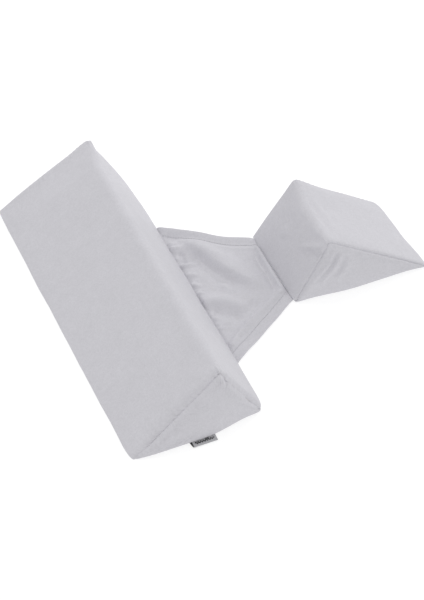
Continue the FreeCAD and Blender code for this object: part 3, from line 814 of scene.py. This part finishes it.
def zip_coil(wedge, which):
    """One side of the zip: a wound filament whose turns reach between those of the other side."""
    lo, hi = box_mm(f"{wedge.name}_zip_coil_{which}")
    centre = wedge.x_toe + wedge.side * wedge.zip_u
    outward = math.copysign(1, (lo[0] + hi[0]) / 2 - centre)
    outer = max(abs(lo[0] - centre), abs(hi[0] - centre))
    wide, tall = (outer + COIL_OVERLAP) / 2 - COIL_WIRE, (hi[2] - lo[2]) / 2 - COIL_WIRE
    y = np.linspace(lo[1], hi[1], int((hi[1] - lo[1]) / COIL_PITCH * COIL_POINTS))
    angle = 2 * math.pi * y / COIL_PITCH + (math.pi if which == "outer" else 0)
    x = centre + outward * ((outer - COIL_OVERLAP) / 2 + wide * np.cos(angle))
    return np.stack([x, y, (lo[2] + hi[2]) / 2 + tall * np.sin(angle)], -1)


def straight_stitches(node):
    """Running stitches along the middle of a CAD node's box."""
    lo, hi = box_mm(node)
    x = (lo[0] + hi[0]) / 2
    return running_stitches([(x, lo[1] + 0.5, lo[2] + 0.2), (x, hi[1] - 0.5, lo[2] + 0.2)])


def toe_zigzag(wedge, upper):
    """The thread in a toe seam, above or under the link's cloth."""
    node = f"{wedge.name}_inner_seam_thread" if upper else f"link_{wedge.name}_seam_thread"
    lo, hi = box_mm(node)
    seam_x, seam_z, slope = seam_point(wedge)
    y = np.arange(lo[1] + 2, hi[1] - 2, ZIGZAG_STEP)
    swing = zigzag_swing(len(y))
    off = (SEAM_GAP / 2 + 0.1) * (1 if upper else -1)
    seam_u = (seam_x - wedge.x_toe) * wedge.side
    seam = wedge.place(np.full(len(y), seam_u), y - wedge.y_mid, np.full(len(y), seam_z))
    x = seam[:, 0] + wedge.side * (off * math.sin(math.atan(slope)) + swing - 0.4)
    return np.stack([x, seam[:, 1], seam[:, 2] + off + 0.2], -1)


LABEL_LAYER = 0.38  # thickness of the ribbon
LABEL_HALF = 0.44  # half the distance between the outer faces of its two layers
LABEL_END, LABEL_ROOT = 3.4, 7.2  # the ribbon's free end and root lie this much nearer than the CAD label's
MARK_RADIUS = 0.42  # of the threads of the woven mark
LABEL_SHIFT = 3.6  # the ribbon leaves this much of the black sheet under it showing, painted shade inside the loop's open side


def build_label():
    """The side label: a ribbon folded at its free end, a black sheet under it that paints the shade inside
    the loop, and a woven mark.
    """
    lo, hi = box_mm("side_label")
    lo = lo + [LABEL_SHIFT, -LABEL_END, 0]
    hi = hi + [0, -LABEL_ROOT, 0]
    end = lo[1] + 0.45
    root = hi[1]
    middle = smooth_line([
        (root + 2.6, 2.9), (root + 0.6, 2.0), (root - 3, 1.15), (root - 7, 0.85), (end, 0.75),
    ])
    normal = unit(np.stack([np.gradient(middle[:, 1]), -np.gradient(middle[:, 0])], -1))
    over, under = middle + LABEL_HALF * normal, middle - LABEL_HALF * normal
    angles = np.linspace(0, math.pi, 10)[1:-1]
    bend = middle[-1] + LABEL_HALF * np.stack([-np.sin(angles), np.cos(angles)], -1)
    path = np.concatenate([over, bend, under[::-1]])
    path[:, 1] = np.maximum(path[:, 1], 0.05)
    x = np.linspace(lo[0], hi[0], 27)
    sag = 0.25 * np.sin((x - lo[0]) / (hi[0] - lo[0]) * math.pi * 1.6 + 0.6)
    grid = np.zeros((len(path), len(x), 3))
    free = np.clip((hi[1] - path[:, 0]) / 12, 0, 1)
    grid[..., 0] = x[None]
    grid[..., 1] = path[:, :1]
    grid[..., 2] = path[:, 1:] + free[:, None] * np.maximum(sag, 0)[None]
    lengths = run_length(path)
    weave = np.zeros_like(grid)
    weave[..., 0] = lengths[:, None]
    weave[..., 1] = grid[..., 0]
    ribbon = shell("side_label_ribbon", grid, weave, thickness=LABEL_LAYER)
    ribbon_flat = (float(lengths[-1]) * MM, float(hi[0] - lo[0]) * MM)

    # The black sheet beside and under the ribbon is painted shade: the dark inside of the loop's open side.
    share = np.linspace(0, 1, 24)
    shares = np.linspace(0, 1, len(middle))
    row = np.stack([np.interp(share, shares, middle[:, k]) for k in (0, 1)], -1)
    left = lo[0] - LABEL_SHIFT * (1 - share) * smoothstep(share * 6 + 0.4)
    across = np.linspace(0, 1, 8)
    back = np.zeros((24, 8, 3))
    back[..., 0] = mix(left[:, None], lo[0] + 9, across[None])
    back[..., 1] = row[:, :1]
    back[..., 2] = np.maximum(row[:, 1:] - 0.1, 0.4)
    dark = shell("side_label_back", back, back * [1, 1, 0], thickness=0.3)

    span = hi[0] - lo[0]
    centre_y = (hi[1] + lo[1]) / 2 - 0.6
    s = np.linspace(0, 1, 90)
    wave_x = lo[0] + span * mix(0.10, 0.90, s)
    wave_y = centre_y + 1.2 * np.sin(s * 2 * math.pi * 7.5) * mix(1.0, 0.6, s)
    a = np.linspace(math.radians(200), math.radians(340), 14)
    moon_x, moon_y = lo[0] + span * 0.62 + 1.6 * np.cos(a), centre_y + 2.6 + 1.2 * np.sin(a)

    def on_ribbon(px, py):
        """Points that lie on the ribbon's upper face."""
        z = np.interp(-py, -over[:, 0], over[:, 1])
        droop = np.interp(px, x, np.maximum(sag, 0)) * np.clip((hi[1] - py) / 12, 0, 1)
        return np.stack([px, py, z + droop + 0.05], -1)

    lines = [on_ribbon(wave_x, wave_y), on_ribbon(moon_x, moon_y)]
    mark = tube_piece("side_label_mark", lines, MARK_RADIUS)
    return ribbon, dark, mark, ribbon_flat


# ---------------------------------------------------------------- building the pieces

# Soft folds of the covers: line in the row frame, height along the face's normal, width, and end fades.
COVER_FOLDS = {
    "large_wrap": [
        ([(-80, -157, 59), (-88, -149, 54)], 0.7, 4.0, (0.2, 0.5)),
        ([(-76, -160, 58), (-70, -150, 50)], -0.8, 3.0, (0.1, 0.5)),
        ([(-90, -158, 51), (-120, -160, 31), (-146, -163, 15)], 0.6, 3.2, (0.2, 0.2)),
        ([(-60, 100, 24), (-54, 60, 20), (-50, 10, 16)], 0.6, 9.0, (0.3, 0.3)),
    ],
    "large_end": [
        ([(-82, -164.1, 53), (-108, -166.2, 38), (-138, -171.3, 20), (-155, -173.7, 9)],
         1.3, 2.6, (0.1, 0.2)),
        ([(-84, -164.4, 45), (-106, -167.9, 32), (-128, -171.4, 18)], -0.9, 3.0, (0.2, 0.3)),
        ([(-130, -173.2, 22), (-121, -175.6, 12)], 0.5, 3.4, (0.1, 0.6)),
        ([(-143, -173.4, 16), (-137, -175.7, 8)], 0.5, 3.0, (0.1, 0.6)),
        ([(-106, -168.7, 36), (-95, -172.2, 22)], 0.6, 3.4, (0.1, 0.5)),
    ],
    "small_wrap": [
        ([(78.5, -56, 56), (72.5, -45, 49.5), (66, -31, 40), (60.5, -18, 31)], 2.6, 3.2, (0.05, 0.5)),
        ([(75.5, -57, 53), (70, -50, 45), (64.5, -41, 37)], -1.5, 2.6, (0.05, 0.4)),
        ([(88, 30, 52), (90, 6, 51), (92, -13, 50), (91, -37, 50.5)], 1.0, 3.6, (0.2, 0.2)),
        ([(83, 28, 56), (84.5, 0, 55), (84, -35, 55.5)], -0.8, 3.0, (0.2, 0.2)),
        ([(62, 10, 36), (57, 0, 27)], 0.9, 6.0, (0.4, 0.4)),
    ],
    "small_end": [
        ([(82, -53.5, 51), (75, -56, 38), (64, -57.5, 27), (55, -59, 15)], 1.6, 1.8, (0.1, 0.3)),
        ([(86, -53.5, 48), (78.5, -56.3, 36), (67.5, -58, 25), (59, -59.5, 14)], -1.3, 1.6, (0.1, 0.3)),
        ([(89.5, -54, 46), (82, -56.6, 34), (71, -58.4, 22.5), (62, -60, 11)], 1.5, 1.8, (0.1, 0.3)),
        ([(94.5, -54.5, 43), (86.5, -57, 30), (76, -59, 19)], -1.1, 2.2, (0.15, 0.4)),
        ([(99, -55, 39), (91, -57.5, 27), (80, -59.5, 16)], 1.1, 2.8, (0.2, 0.4)),
    ],
}


def cover_details(name):
    """A function that gives the height of a cover's folds at points in the row frame."""
    def details(points):
        total = np.zeros(len(points))
        for line, height, width, fade in COVER_FOLDS[name]:
            total += fold(points, line, height, width, 0.0, fade)
        return total
    return details


def slope_crown(wedge):
    """The fullness of the slopes over the foam: most in their middles, none at their edges."""
    def crown(u, t, z):
        lengthwise = np.clip(1 - (np.abs(t) / wedge.half) ** 4, 0, 1)
        height = np.clip(z / wedge.peak, 0, 1)
        across = np.clip(4 * height * (1 - height), 0, 1) ** 0.7
        return np.where(u < wedge.corners[1][0], 1.2, 0.9) * across * lengthwise
    return crown


def no_crown(u, t, z):
    return np.zeros_like(u)


def no_details(points):
    return np.zeros(len(points))


# Each end's own shape in millimetres.
# lean: how far the ridge leans in. belly: how far the base stands out at the toe, the middle and the tip.
# bulge: how far the inner and the outer slope's edges stand out half way up. rim: how far the end's edge
# rounds off. roll: the radius of its seam's roll. toe_pull, tip_pull: how far the lower corners pull in,
# over the distance corner along the wedge. ridge_u, ridge_z, tip_u: how far the ridge stands aside and up,
# and the tip aside. yaw: how far the whole end stands aside.
LARGE_NEAR = dict(
    lean=6.0, belly=(2.4, 10.6, 9.2), bulge=(0.0, 0.0), rim=2.6, roll=2.1,
    corner=24, toe_pull=2.2, tip_pull=2.0, ridge_u=0.0, ridge_z=0.0, tip_u=0.0, yaw=1.4,
)
LARGE_FAR = dict(
    lean=-0.4, belly=(4.2, 1.4, 0.0), bulge=(10.4, 1.2), rim=0.8, roll=ROLL,
    corner=80, toe_pull=4.8, tip_pull=0.5, ridge_u=6.4, ridge_z=-2.3, tip_u=0.0, yaw=-2.0,
)
SMALL_NEAR = dict(
    lean=6.0, belly=(0.8, 5.3, 7.4), bulge=(0.0, 0.0), rim=1.2, roll=ROLL,
    corner=20, toe_pull=1.0, tip_pull=0.4, ridge_u=0.0, ridge_z=0.0, tip_u=-4.5, yaw=0.0,
)
SMALL_FAR = dict(
    lean=-0.5, belly=(1.2, 0.0, 0.0), bulge=(0.7, 0.7), rim=0.6, roll=ROLL,
    corner=24, toe_pull=0.3, tip_pull=2.6, ridge_u=-7.2, ridge_z=1.2, tip_u=0.0, yaw=0.8,
)
large = Wedge("large", 1, True, 0.55, LARGE_NEAR, LARGE_FAR)
small = Wedge("small", -1, False, 0.25, SMALL_NEAR, SMALL_FAR)
LARGE_SEAM, SMALL_SEAM = seam_point(large), seam_point(small)

looks = {}  # piece to the name of its material


def keep(piece, body, slot, look, *nodes):
    """Notes what a piece rides on, the nodes it stands for, and its material."""
    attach(piece, body)
    if nodes:
        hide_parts(*nodes)
    looks[piece] = look


def sew(name, line, radius, body, node, closed=False):
    """A thread along a line, which stands for a CAD node."""
    keep(tube_piece(name, [line], radius, closed), body, "thread", "thread", node)


for index, wedge in enumerate((large, small)):
    name, body = wedge.name, wedge.name + "_wedge"
    seed = 100 * (index + 1)
    foam = build_foam(wedge, name + "_foam_block")
    keep(foam, body, "foam", "foam", name + "_foam_core")
    details = cover_details(name + "_wrap")
    wrap = build_panel(wedge, name + "_wrap_cloth", wedge.wrap_path, slope_crown(wedge), details, seed)
    base = build_panel(wedge, name + "_base_cloth", wedge.base_path, no_crown, no_details, seed + 10)
    near_end = build_end(wedge, -1, name + "_near_end_cloth", cover_details(name + "_end"), seed + 20)
    far_end = build_end(wedge, 1, name + "_far_end_cloth", no_details, seed + 30)
    for piece, node, path in ((wrap, "wrap_panel", wedge.wrap_path), (base, "base_panel", wedge.base_path)):
        keep(piece, body, "jersey", "jersey", f"{name}_{node}")
        float(run_length(path(0.0))[-1]) * MM
    for piece, node in ((near_end, "near_end_panel"), (far_end, "far_end_panel")):
        keep(piece, body, "jersey", "jersey", f"{name}_{node}")
    for end, word in ((-1, "near"), (1, "far")):
        seam = f"{name}_{word}_seam"
        sew(seam + "_stitches", seam_zigzag(wedge, end), SEAM_THREAD, body, seam + "_thread", closed=True)
    sew(name + "_toe_stitches", toe_zigzag(wedge, True), SEAM_THREAD, body, name + "_inner_seam_thread")
    seam = f"link_{name}_seam"
    sew(seam + "_stitches", toe_zigzag(wedge, False), SEAM_THREAD, body, seam + "_thread")
    for which in ("inner", "outer"):
        coil = tube_piece(f"{name}_zip_{which}_turns", [zip_coil(wedge, which)], COIL_WIRE)
        keep(coil, body, "zip_coil", "zip_coil", f"{name}_zip_coil_{which}")
        node = f"{name}_zip_stitch_{which}"
        sew(node + "_thread", straight_stitches(node), ZIP_THREAD, body, node)

# For each of the link's two meshes: the two bodies of the joint it spans, and where along x a bend across
# that joint starts and ends, in metres.
BLENDS = (
    ("large_wedge", "link", (LARGE_SEAM[0] + 2.0) * MM, -0.031),
    ("link", "small_wedge", (SPLIT_X + 1.0) * MM, (SMALL_SEAM[0] - 2.0) * MM),
)


def keep_blended(parts, look, node):
    """The two parts of something on the link: hides its CAD node, bakes each part's place into its mesh and
    notes its material.
    """
    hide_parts(node)
    for piece, (first, second, start, end) in zip(parts, BLENDS):
        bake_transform(piece)
        looks[piece] = look


link_parts = build_link()
keep_blended(link_parts, "jersey", "link_panel")
for end, word in ((-1, "near"), (1, "far")):
    lines = hem_lines(end)
    stitches = [
        tube_piece(f"link_{word}_hem_stitches", [lines[0]], HEM_THREAD),
        tube_piece(f"link_{word}_hem_stitches_small_side", [lines[1]], HEM_THREAD),
    ]
    keep_blended(stitches, "thread", f"link_{word}_hem_thread")

ribbon, ribbon_shade_sheet, mark, ribbon_flat = build_label()
keep(ribbon, "large_wedge", "label", "label", "side_label")
# the black sheet is painted shade inside the label's loop; the mark is dark print
keep(ribbon_shade_sheet, "large_wedge", "label", "label_print_and_painted_shade")
keep(mark, "large_wedge", "label", "label_print_and_painted_shade")


# ---------------------------------------------------------------- materials

class Look:
    """A procedural material: the shader's own values, and helpers that add nodes."""

    def __init__(self, name, **values):
        self.material = bpy.data.materials.new(name)
        self.material.use_nodes = True
        self.nodes, self.links = self.material.node_tree.nodes, self.material.node_tree.links
        self.shader = self.nodes["Principled BSDF"]
        for socket, value in values.items():
            self.shader.inputs[socket.replace("_", " ")].default_value = value

    def feed(self, socket, value):
        if isinstance(value, bpy.types.NodeSocket):
            self.links.new(value, socket)
        else:
            socket.default_value = value

    def place(self):
        """Each point's place in the flat cloth, in millimetres, as x, y, z."""
        node = self.nodes.new("ShaderNodeAttribute")
        node.attribute_name = "cloth_mm"
        split = self.nodes.new("ShaderNodeSeparateXYZ")
        self.links.new(node.outputs["Vector"], split.inputs[0])
        return node.outputs["Vector"], split.outputs[0], split.outputs[1]

    def row_place(self):
        """Each point's place in the row frame's axes, in millimetres."""
        node = self.nodes.new("ShaderNodeTexCoord")
        scale = self.nodes.new("ShaderNodeVectorMath")
        scale.operation = "SCALE"
        scale.inputs["Scale"].default_value = 1 / MM
        self.links.new(node.outputs["Object"], scale.inputs[0])
        split = self.nodes.new("ShaderNodeSeparateXYZ")
        self.links.new(scale.outputs[0], split.inputs[0])
        return scale.outputs[0], split.outputs[0], split.outputs[1]

    def math(self, operation, a, b=0.0, c=0.0):
        node = self.nodes.new("ShaderNodeMath")
        node.operation = operation
        for socket, value in zip(node.inputs, (a, b, c)):
            self.feed(socket, value)
        return node.outputs[0]

    def product(self, *values):
        total = values[0]
        for value in values[1:]:
            total = self.math("MULTIPLY", total, value)
        return total

    def noise(self, vector, size, detail=2.0, roughness=0.5):
        """Noise between 0 and 1, whose features are about size millimetres."""
        node = self.nodes.new("ShaderNodeTexNoise")
        self.links.new(vector, node.inputs["Vector"])
        node.inputs["Scale"].default_value = 1 / size
        node.inputs["Detail"].default_value = detail
        node.inputs["Roughness"].default_value = roughness
        return node.outputs[0]

    def bands(self, along, period, shift=0.0):
        """A smooth wave between 0 and 1."""
        turned = self.math("ADD", self.math("MULTIPLY", along, 2 * math.pi / period), shift)
        return self.math("MULTIPLY_ADD", self.math("SINE", turned), 0.5, 0.5)

    def colour(self, base, *brightness):
        """The base colour, made lighter and darker by one or more values around 1."""
        node = self.nodes.new("ShaderNodeVectorMath")
        node.operation = "SCALE"
        node.inputs[0].default_value = base
        self.feed(node.inputs["Scale"], self.product(*brightness))
        self.links.new(node.outputs[0], self.shader.inputs["Base Color"])

    def bump(self, height, distance, strength=1.0):
        node = self.nodes.new("ShaderNodeBump")
        node.inputs["Distance"].default_value = distance * MM
        node.inputs["Strength"].default_value = strength
        self.links.new(height, node.inputs["Height"])
        self.links.new(node.outputs[0], self.shader.inputs["Normal"])

    def around(self, value, amount, centre=1.0):
        """A 0 to 1 value spread to centre - amount and centre + amount."""
        return self.math("MULTIPLY_ADD", value, 2 * amount, centre - amount)


def jersey_look():
    """Brushed cotton jersey: fine wales and courses under a short nap. Its colour is slightly uneven: the
    broad cloud and patches are the yarn's own tone, and the fine mottle, lighter where the nap, tufts and
    knit stand high, is painted light and shade.
    """
    look = Look("jersey", Roughness=0.93, Sheen_Weight=0.12, Sheen_Roughness=0.5, Specular_IOR_Level=0.2)
    vector, x, y = look.place()
    wale = look.bands(x, 0.95)
    zigzag = look.math("MULTIPLY", look.math("PINGPONG", x, 0.475), 4.0)
    course = look.bands(y, 0.8, zigzag)
    knit = look.math("MULTIPLY", wale, look.math("MULTIPLY_ADD", course, 0.5, 0.5))
    nap = look.noise(vector, 1.5, 3.0, 0.65)
    tuft = look.noise(vector, 3.6, 2.0)
    cloud, patch = look.noise(vector, 26.0, 2.0), look.noise(vector, 9.0)
    # painted light and shade: the nap, tufts and knit lighten the colour where their bumps stand high and
    # darken it in their hollows
    look.colour(
        JERSEY_COLOUR, look.around(nap, 0.115), look.around(cloud, 0.03), look.around(tuft, 0.055),
        look.around(patch, 0.03), look.around(knit, 0.02, 0.995))
    height = look.math("ADD", look.math("MULTIPLY", knit, 0.35), look.math("MULTIPLY", nap, 0.9))
    look.bump(look.math("ADD", height, look.math("MULTIPLY", tuft, 0.8)), 0.22, 0.8)
    look.feed(look.shader.inputs["Roughness"], look.around(nap, 0.05, 0.92))
    return look.material


def foam_look():
    """Open-cell foam."""
    look = Look("foam", Roughness=0.95, Specular_IOR_Level=0.2)
    vector = look.row_place()[0]
    cell = look.nodes.new("ShaderNodeTexVoronoi")
    look.links.new(vector, cell.inputs["Vector"])
    cell.inputs["Scale"].default_value = 1 / 0.9
    pore = look.math("MULTIPLY", cell.outputs["Distance"], 1.2)
    look.colour((0.82, 0.79, 0.68), look.around(pore, 0.12), look.around(look.noise(vector, 30), 0.04))
    look.bump(pore, 0.4)
    return look.material


def thread_look():
    """Twisted two-ply polyester thread."""
    look = Look("thread", Roughness=0.6, Sheen_Weight=0.2, Sheen_Roughness=0.4)
    _, along, turn = look.place()
    twist = look.math("MULTIPLY_ADD", along, 1 / 0.45, turn)
    ply = look.bands(twist, 0.5)
    look.colour(THREAD_GREY_WITH_GROOVE_SHADE, look.around(ply, 0.12))
    look.bump(ply, 0.06)
    return look.material


def tape_look():
    """Woven zip tape: a fine herringbone."""
    look = Look("zip_tape", Roughness=0.85, Sheen_Weight=0.15, Sheen_Roughness=0.5)
    vector, x, y = look.row_place()
    slant = look.math("MULTIPLY", look.math("PINGPONG", x, 1.1), 2.2)
    rib = look.bands(look.math("ADD", y, slant), 0.55)
    look.colour((0.60, 0.59, 0.62), look.around(rib, 0.10), look.around(look.noise(vector, 6), 0.04))
    look.bump(rib, 0.12)
    return look.material


def plastic_look(name, colour, roughness):
    """Nylon with a slight unevenness."""
    look = Look(name, Roughness=roughness, Specular_IOR_Level=0.5)
    vector = look.row_place()[0]
    fine, wide = look.noise(vector, 0.6, 2.0), look.noise(vector, 9.0)
    look.colour(colour, look.around(fine, 0.03), look.around(wide, 0.04))
    look.feed(look.shader.inputs["Roughness"], look.around(fine, 0.06, roughness))
    look.bump(fine, 0.03)
    return look.material


def metal_look():
    """Nickel-plated zinc, rubbed brighter in places."""
    look = Look("zip_metal", Metallic=1.0, Roughness=0.3)
    vector = look.row_place()[0]
    wear, grain = look.noise(vector, 2.2, 3.0), look.noise(vector, 0.35, 2.0)
    look.colour((0.62, 0.61, 0.59), look.around(wear, 0.10))
    look.feed(look.shader.inputs["Roughness"], look.around(wear, 0.12, 0.32))
    look.bump(grain, 0.02)
    return look.material


def ribbon_look(name, colour):
    """Woven satin ribbon: fine lengthwise floats crossed by picks."""
    look = Look(name, Roughness=0.55, Sheen_Weight=0.1, Sheen_Roughness=0.4)
    vector, along, across = look.place()
    warp, pick = look.bands(across, 0.36), look.bands(along, 0.5)
    plain = look.math("MULTIPLY", warp, 0.4)
    weave = look.math("MULTIPLY_ADD", look.math("MULTIPLY", warp, pick), 0.6, plain)
    look.colour(colour, look.around(weave, 0.10), look.around(look.noise(vector, 3), 0.05))
    look.bump(weave, 0.08)
    return look.material


JERSEY_COLOUR = (0.624, 0.617, 0.654)
# the thread's own grey, deepened with painted shade so the stitched seams and hems read as dark grooves
THREAD_GREY_WITH_GROOVE_SHADE = (0.46, 0.455, 0.485)
materials = {
    "jersey": jersey_look(),
    "foam": foam_look(),
    "thread": thread_look(),
    "zip_tape": tape_look(),
    "zip_coil": plastic_look("zip_coil", (0.62, 0.61, 0.64), 0.4),
    "zip_metal": metal_look(),
    "label": ribbon_look("label", (0.52, 0.52, 0.54)),
    # near black: the mark's print, and painted shade on the sheet inside the label's loop
    "label_print_and_painted_shade": ribbon_look("label_print_and_painted_shade", (0.025, 0.025, 0.03)),
}
for piece, look in looks.items():
    piece.data.materials.append(materials[look])
for name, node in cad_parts.items():  # the CAD nodes that still show: the zips' tapes and metal parts
    if not node.hide_render:
        look = "zip_tape" if "tape" in name else "zip_metal"
        node.data.materials.clear()
        node.data.materials.append(materials[look])


# ---------------------------------------------------------------- camera, floor and light

# The camera was fitted to the photo: lens and sensor in millimetres, place in metres.
LENS, SENSOR = 128.2, 36.0
CAMERA_PLACE = (-0.5325, -1.3509, 1.4186)
CAMERA_RIGHT = np.array([0.92309, -0.38332, -0.03131])
CAMERA_UP = np.array([0.29136, 0.64385, 0.70750])
camera_data = bpy.data.cameras.new("camera")
camera_data.lens, camera_data.sensor_width = LENS, SENSOR
camera_data.clip_start, camera_data.clip_end = 0.01, 20
camera = bpy.data.objects.new("camera", camera_data)
camera_axes = [CAMERA_RIGHT, CAMERA_UP, np.cross(CAMERA_RIGHT, CAMERA_UP)]
camera_rows = [[axis[k] for axis in camera_axes] + [CAMERA_PLACE[k]] for k in range(3)]
camera.matrix_world = Matrix(camera_rows + [[0, 0, 0, 1]])
bpy.context.scene.collection.objects.link(camera)
bpy.context.scene.camera = camera

FLOOR_HALF, FLOOR_DROP = 6.0, 0.0003  # in metres
floor_mesh = bpy.data.meshes.new("floor")
floor_signs = ((-1, -1), (1, -1), (1, 1), (-1, 1))
floor_corners = [(x * FLOOR_HALF, y * FLOOR_HALF, -FLOOR_DROP) for x, y in floor_signs]
floor_mesh.from_pydata(floor_corners, [], [(0, 1, 2, 3)])
floor = bpy.data.objects.new("floor", floor_mesh)
bpy.context.scene.collection.objects.link(floor)
floor_look = Look("floor", Base_Color=(0.42, 0.42, 0.42, 1), Roughness=0.9, Specular_IOR_Level=0.1)
floor_look.shader.inputs["Emission Color"].default_value = (1, 1, 1, 1)
floor_look.shader.inputs["Emission Strength"].default_value = 0.68
floor_mesh.materials.append(floor_look.material)


def soft_light(name, place, size, power):
    """A round lamp aimed at the object."""
    data = bpy.data.lights.new(name, "AREA")
    data.shape, data.size, data.energy = "DISK", size, power
    light = bpy.data.objects.new(name, data)
    light.location = place
    light.rotation_euler = (-Vector(place)).to_track_quat("-Z", "Y").to_euler()
    bpy.context.scene.collection.objects.link(light)


soft_light("top_light", (0.3, 1.4, 2.8), 1.6, 14.5)
soft_light("side_light", (2.2, 2.2, 1.0), 1.6, 17.5)
world = bpy.data.worlds.new("studio")
world.use_nodes = True
world.node_tree.nodes["Background"].inputs["Color"].default_value = (1, 1, 1, 1)
world.node_tree.nodes["Background"].inputs["Strength"].default_value = 0.8
bpy.context.scene.world = world
bpy.context.scene.view_settings.view_transform = "Standard"
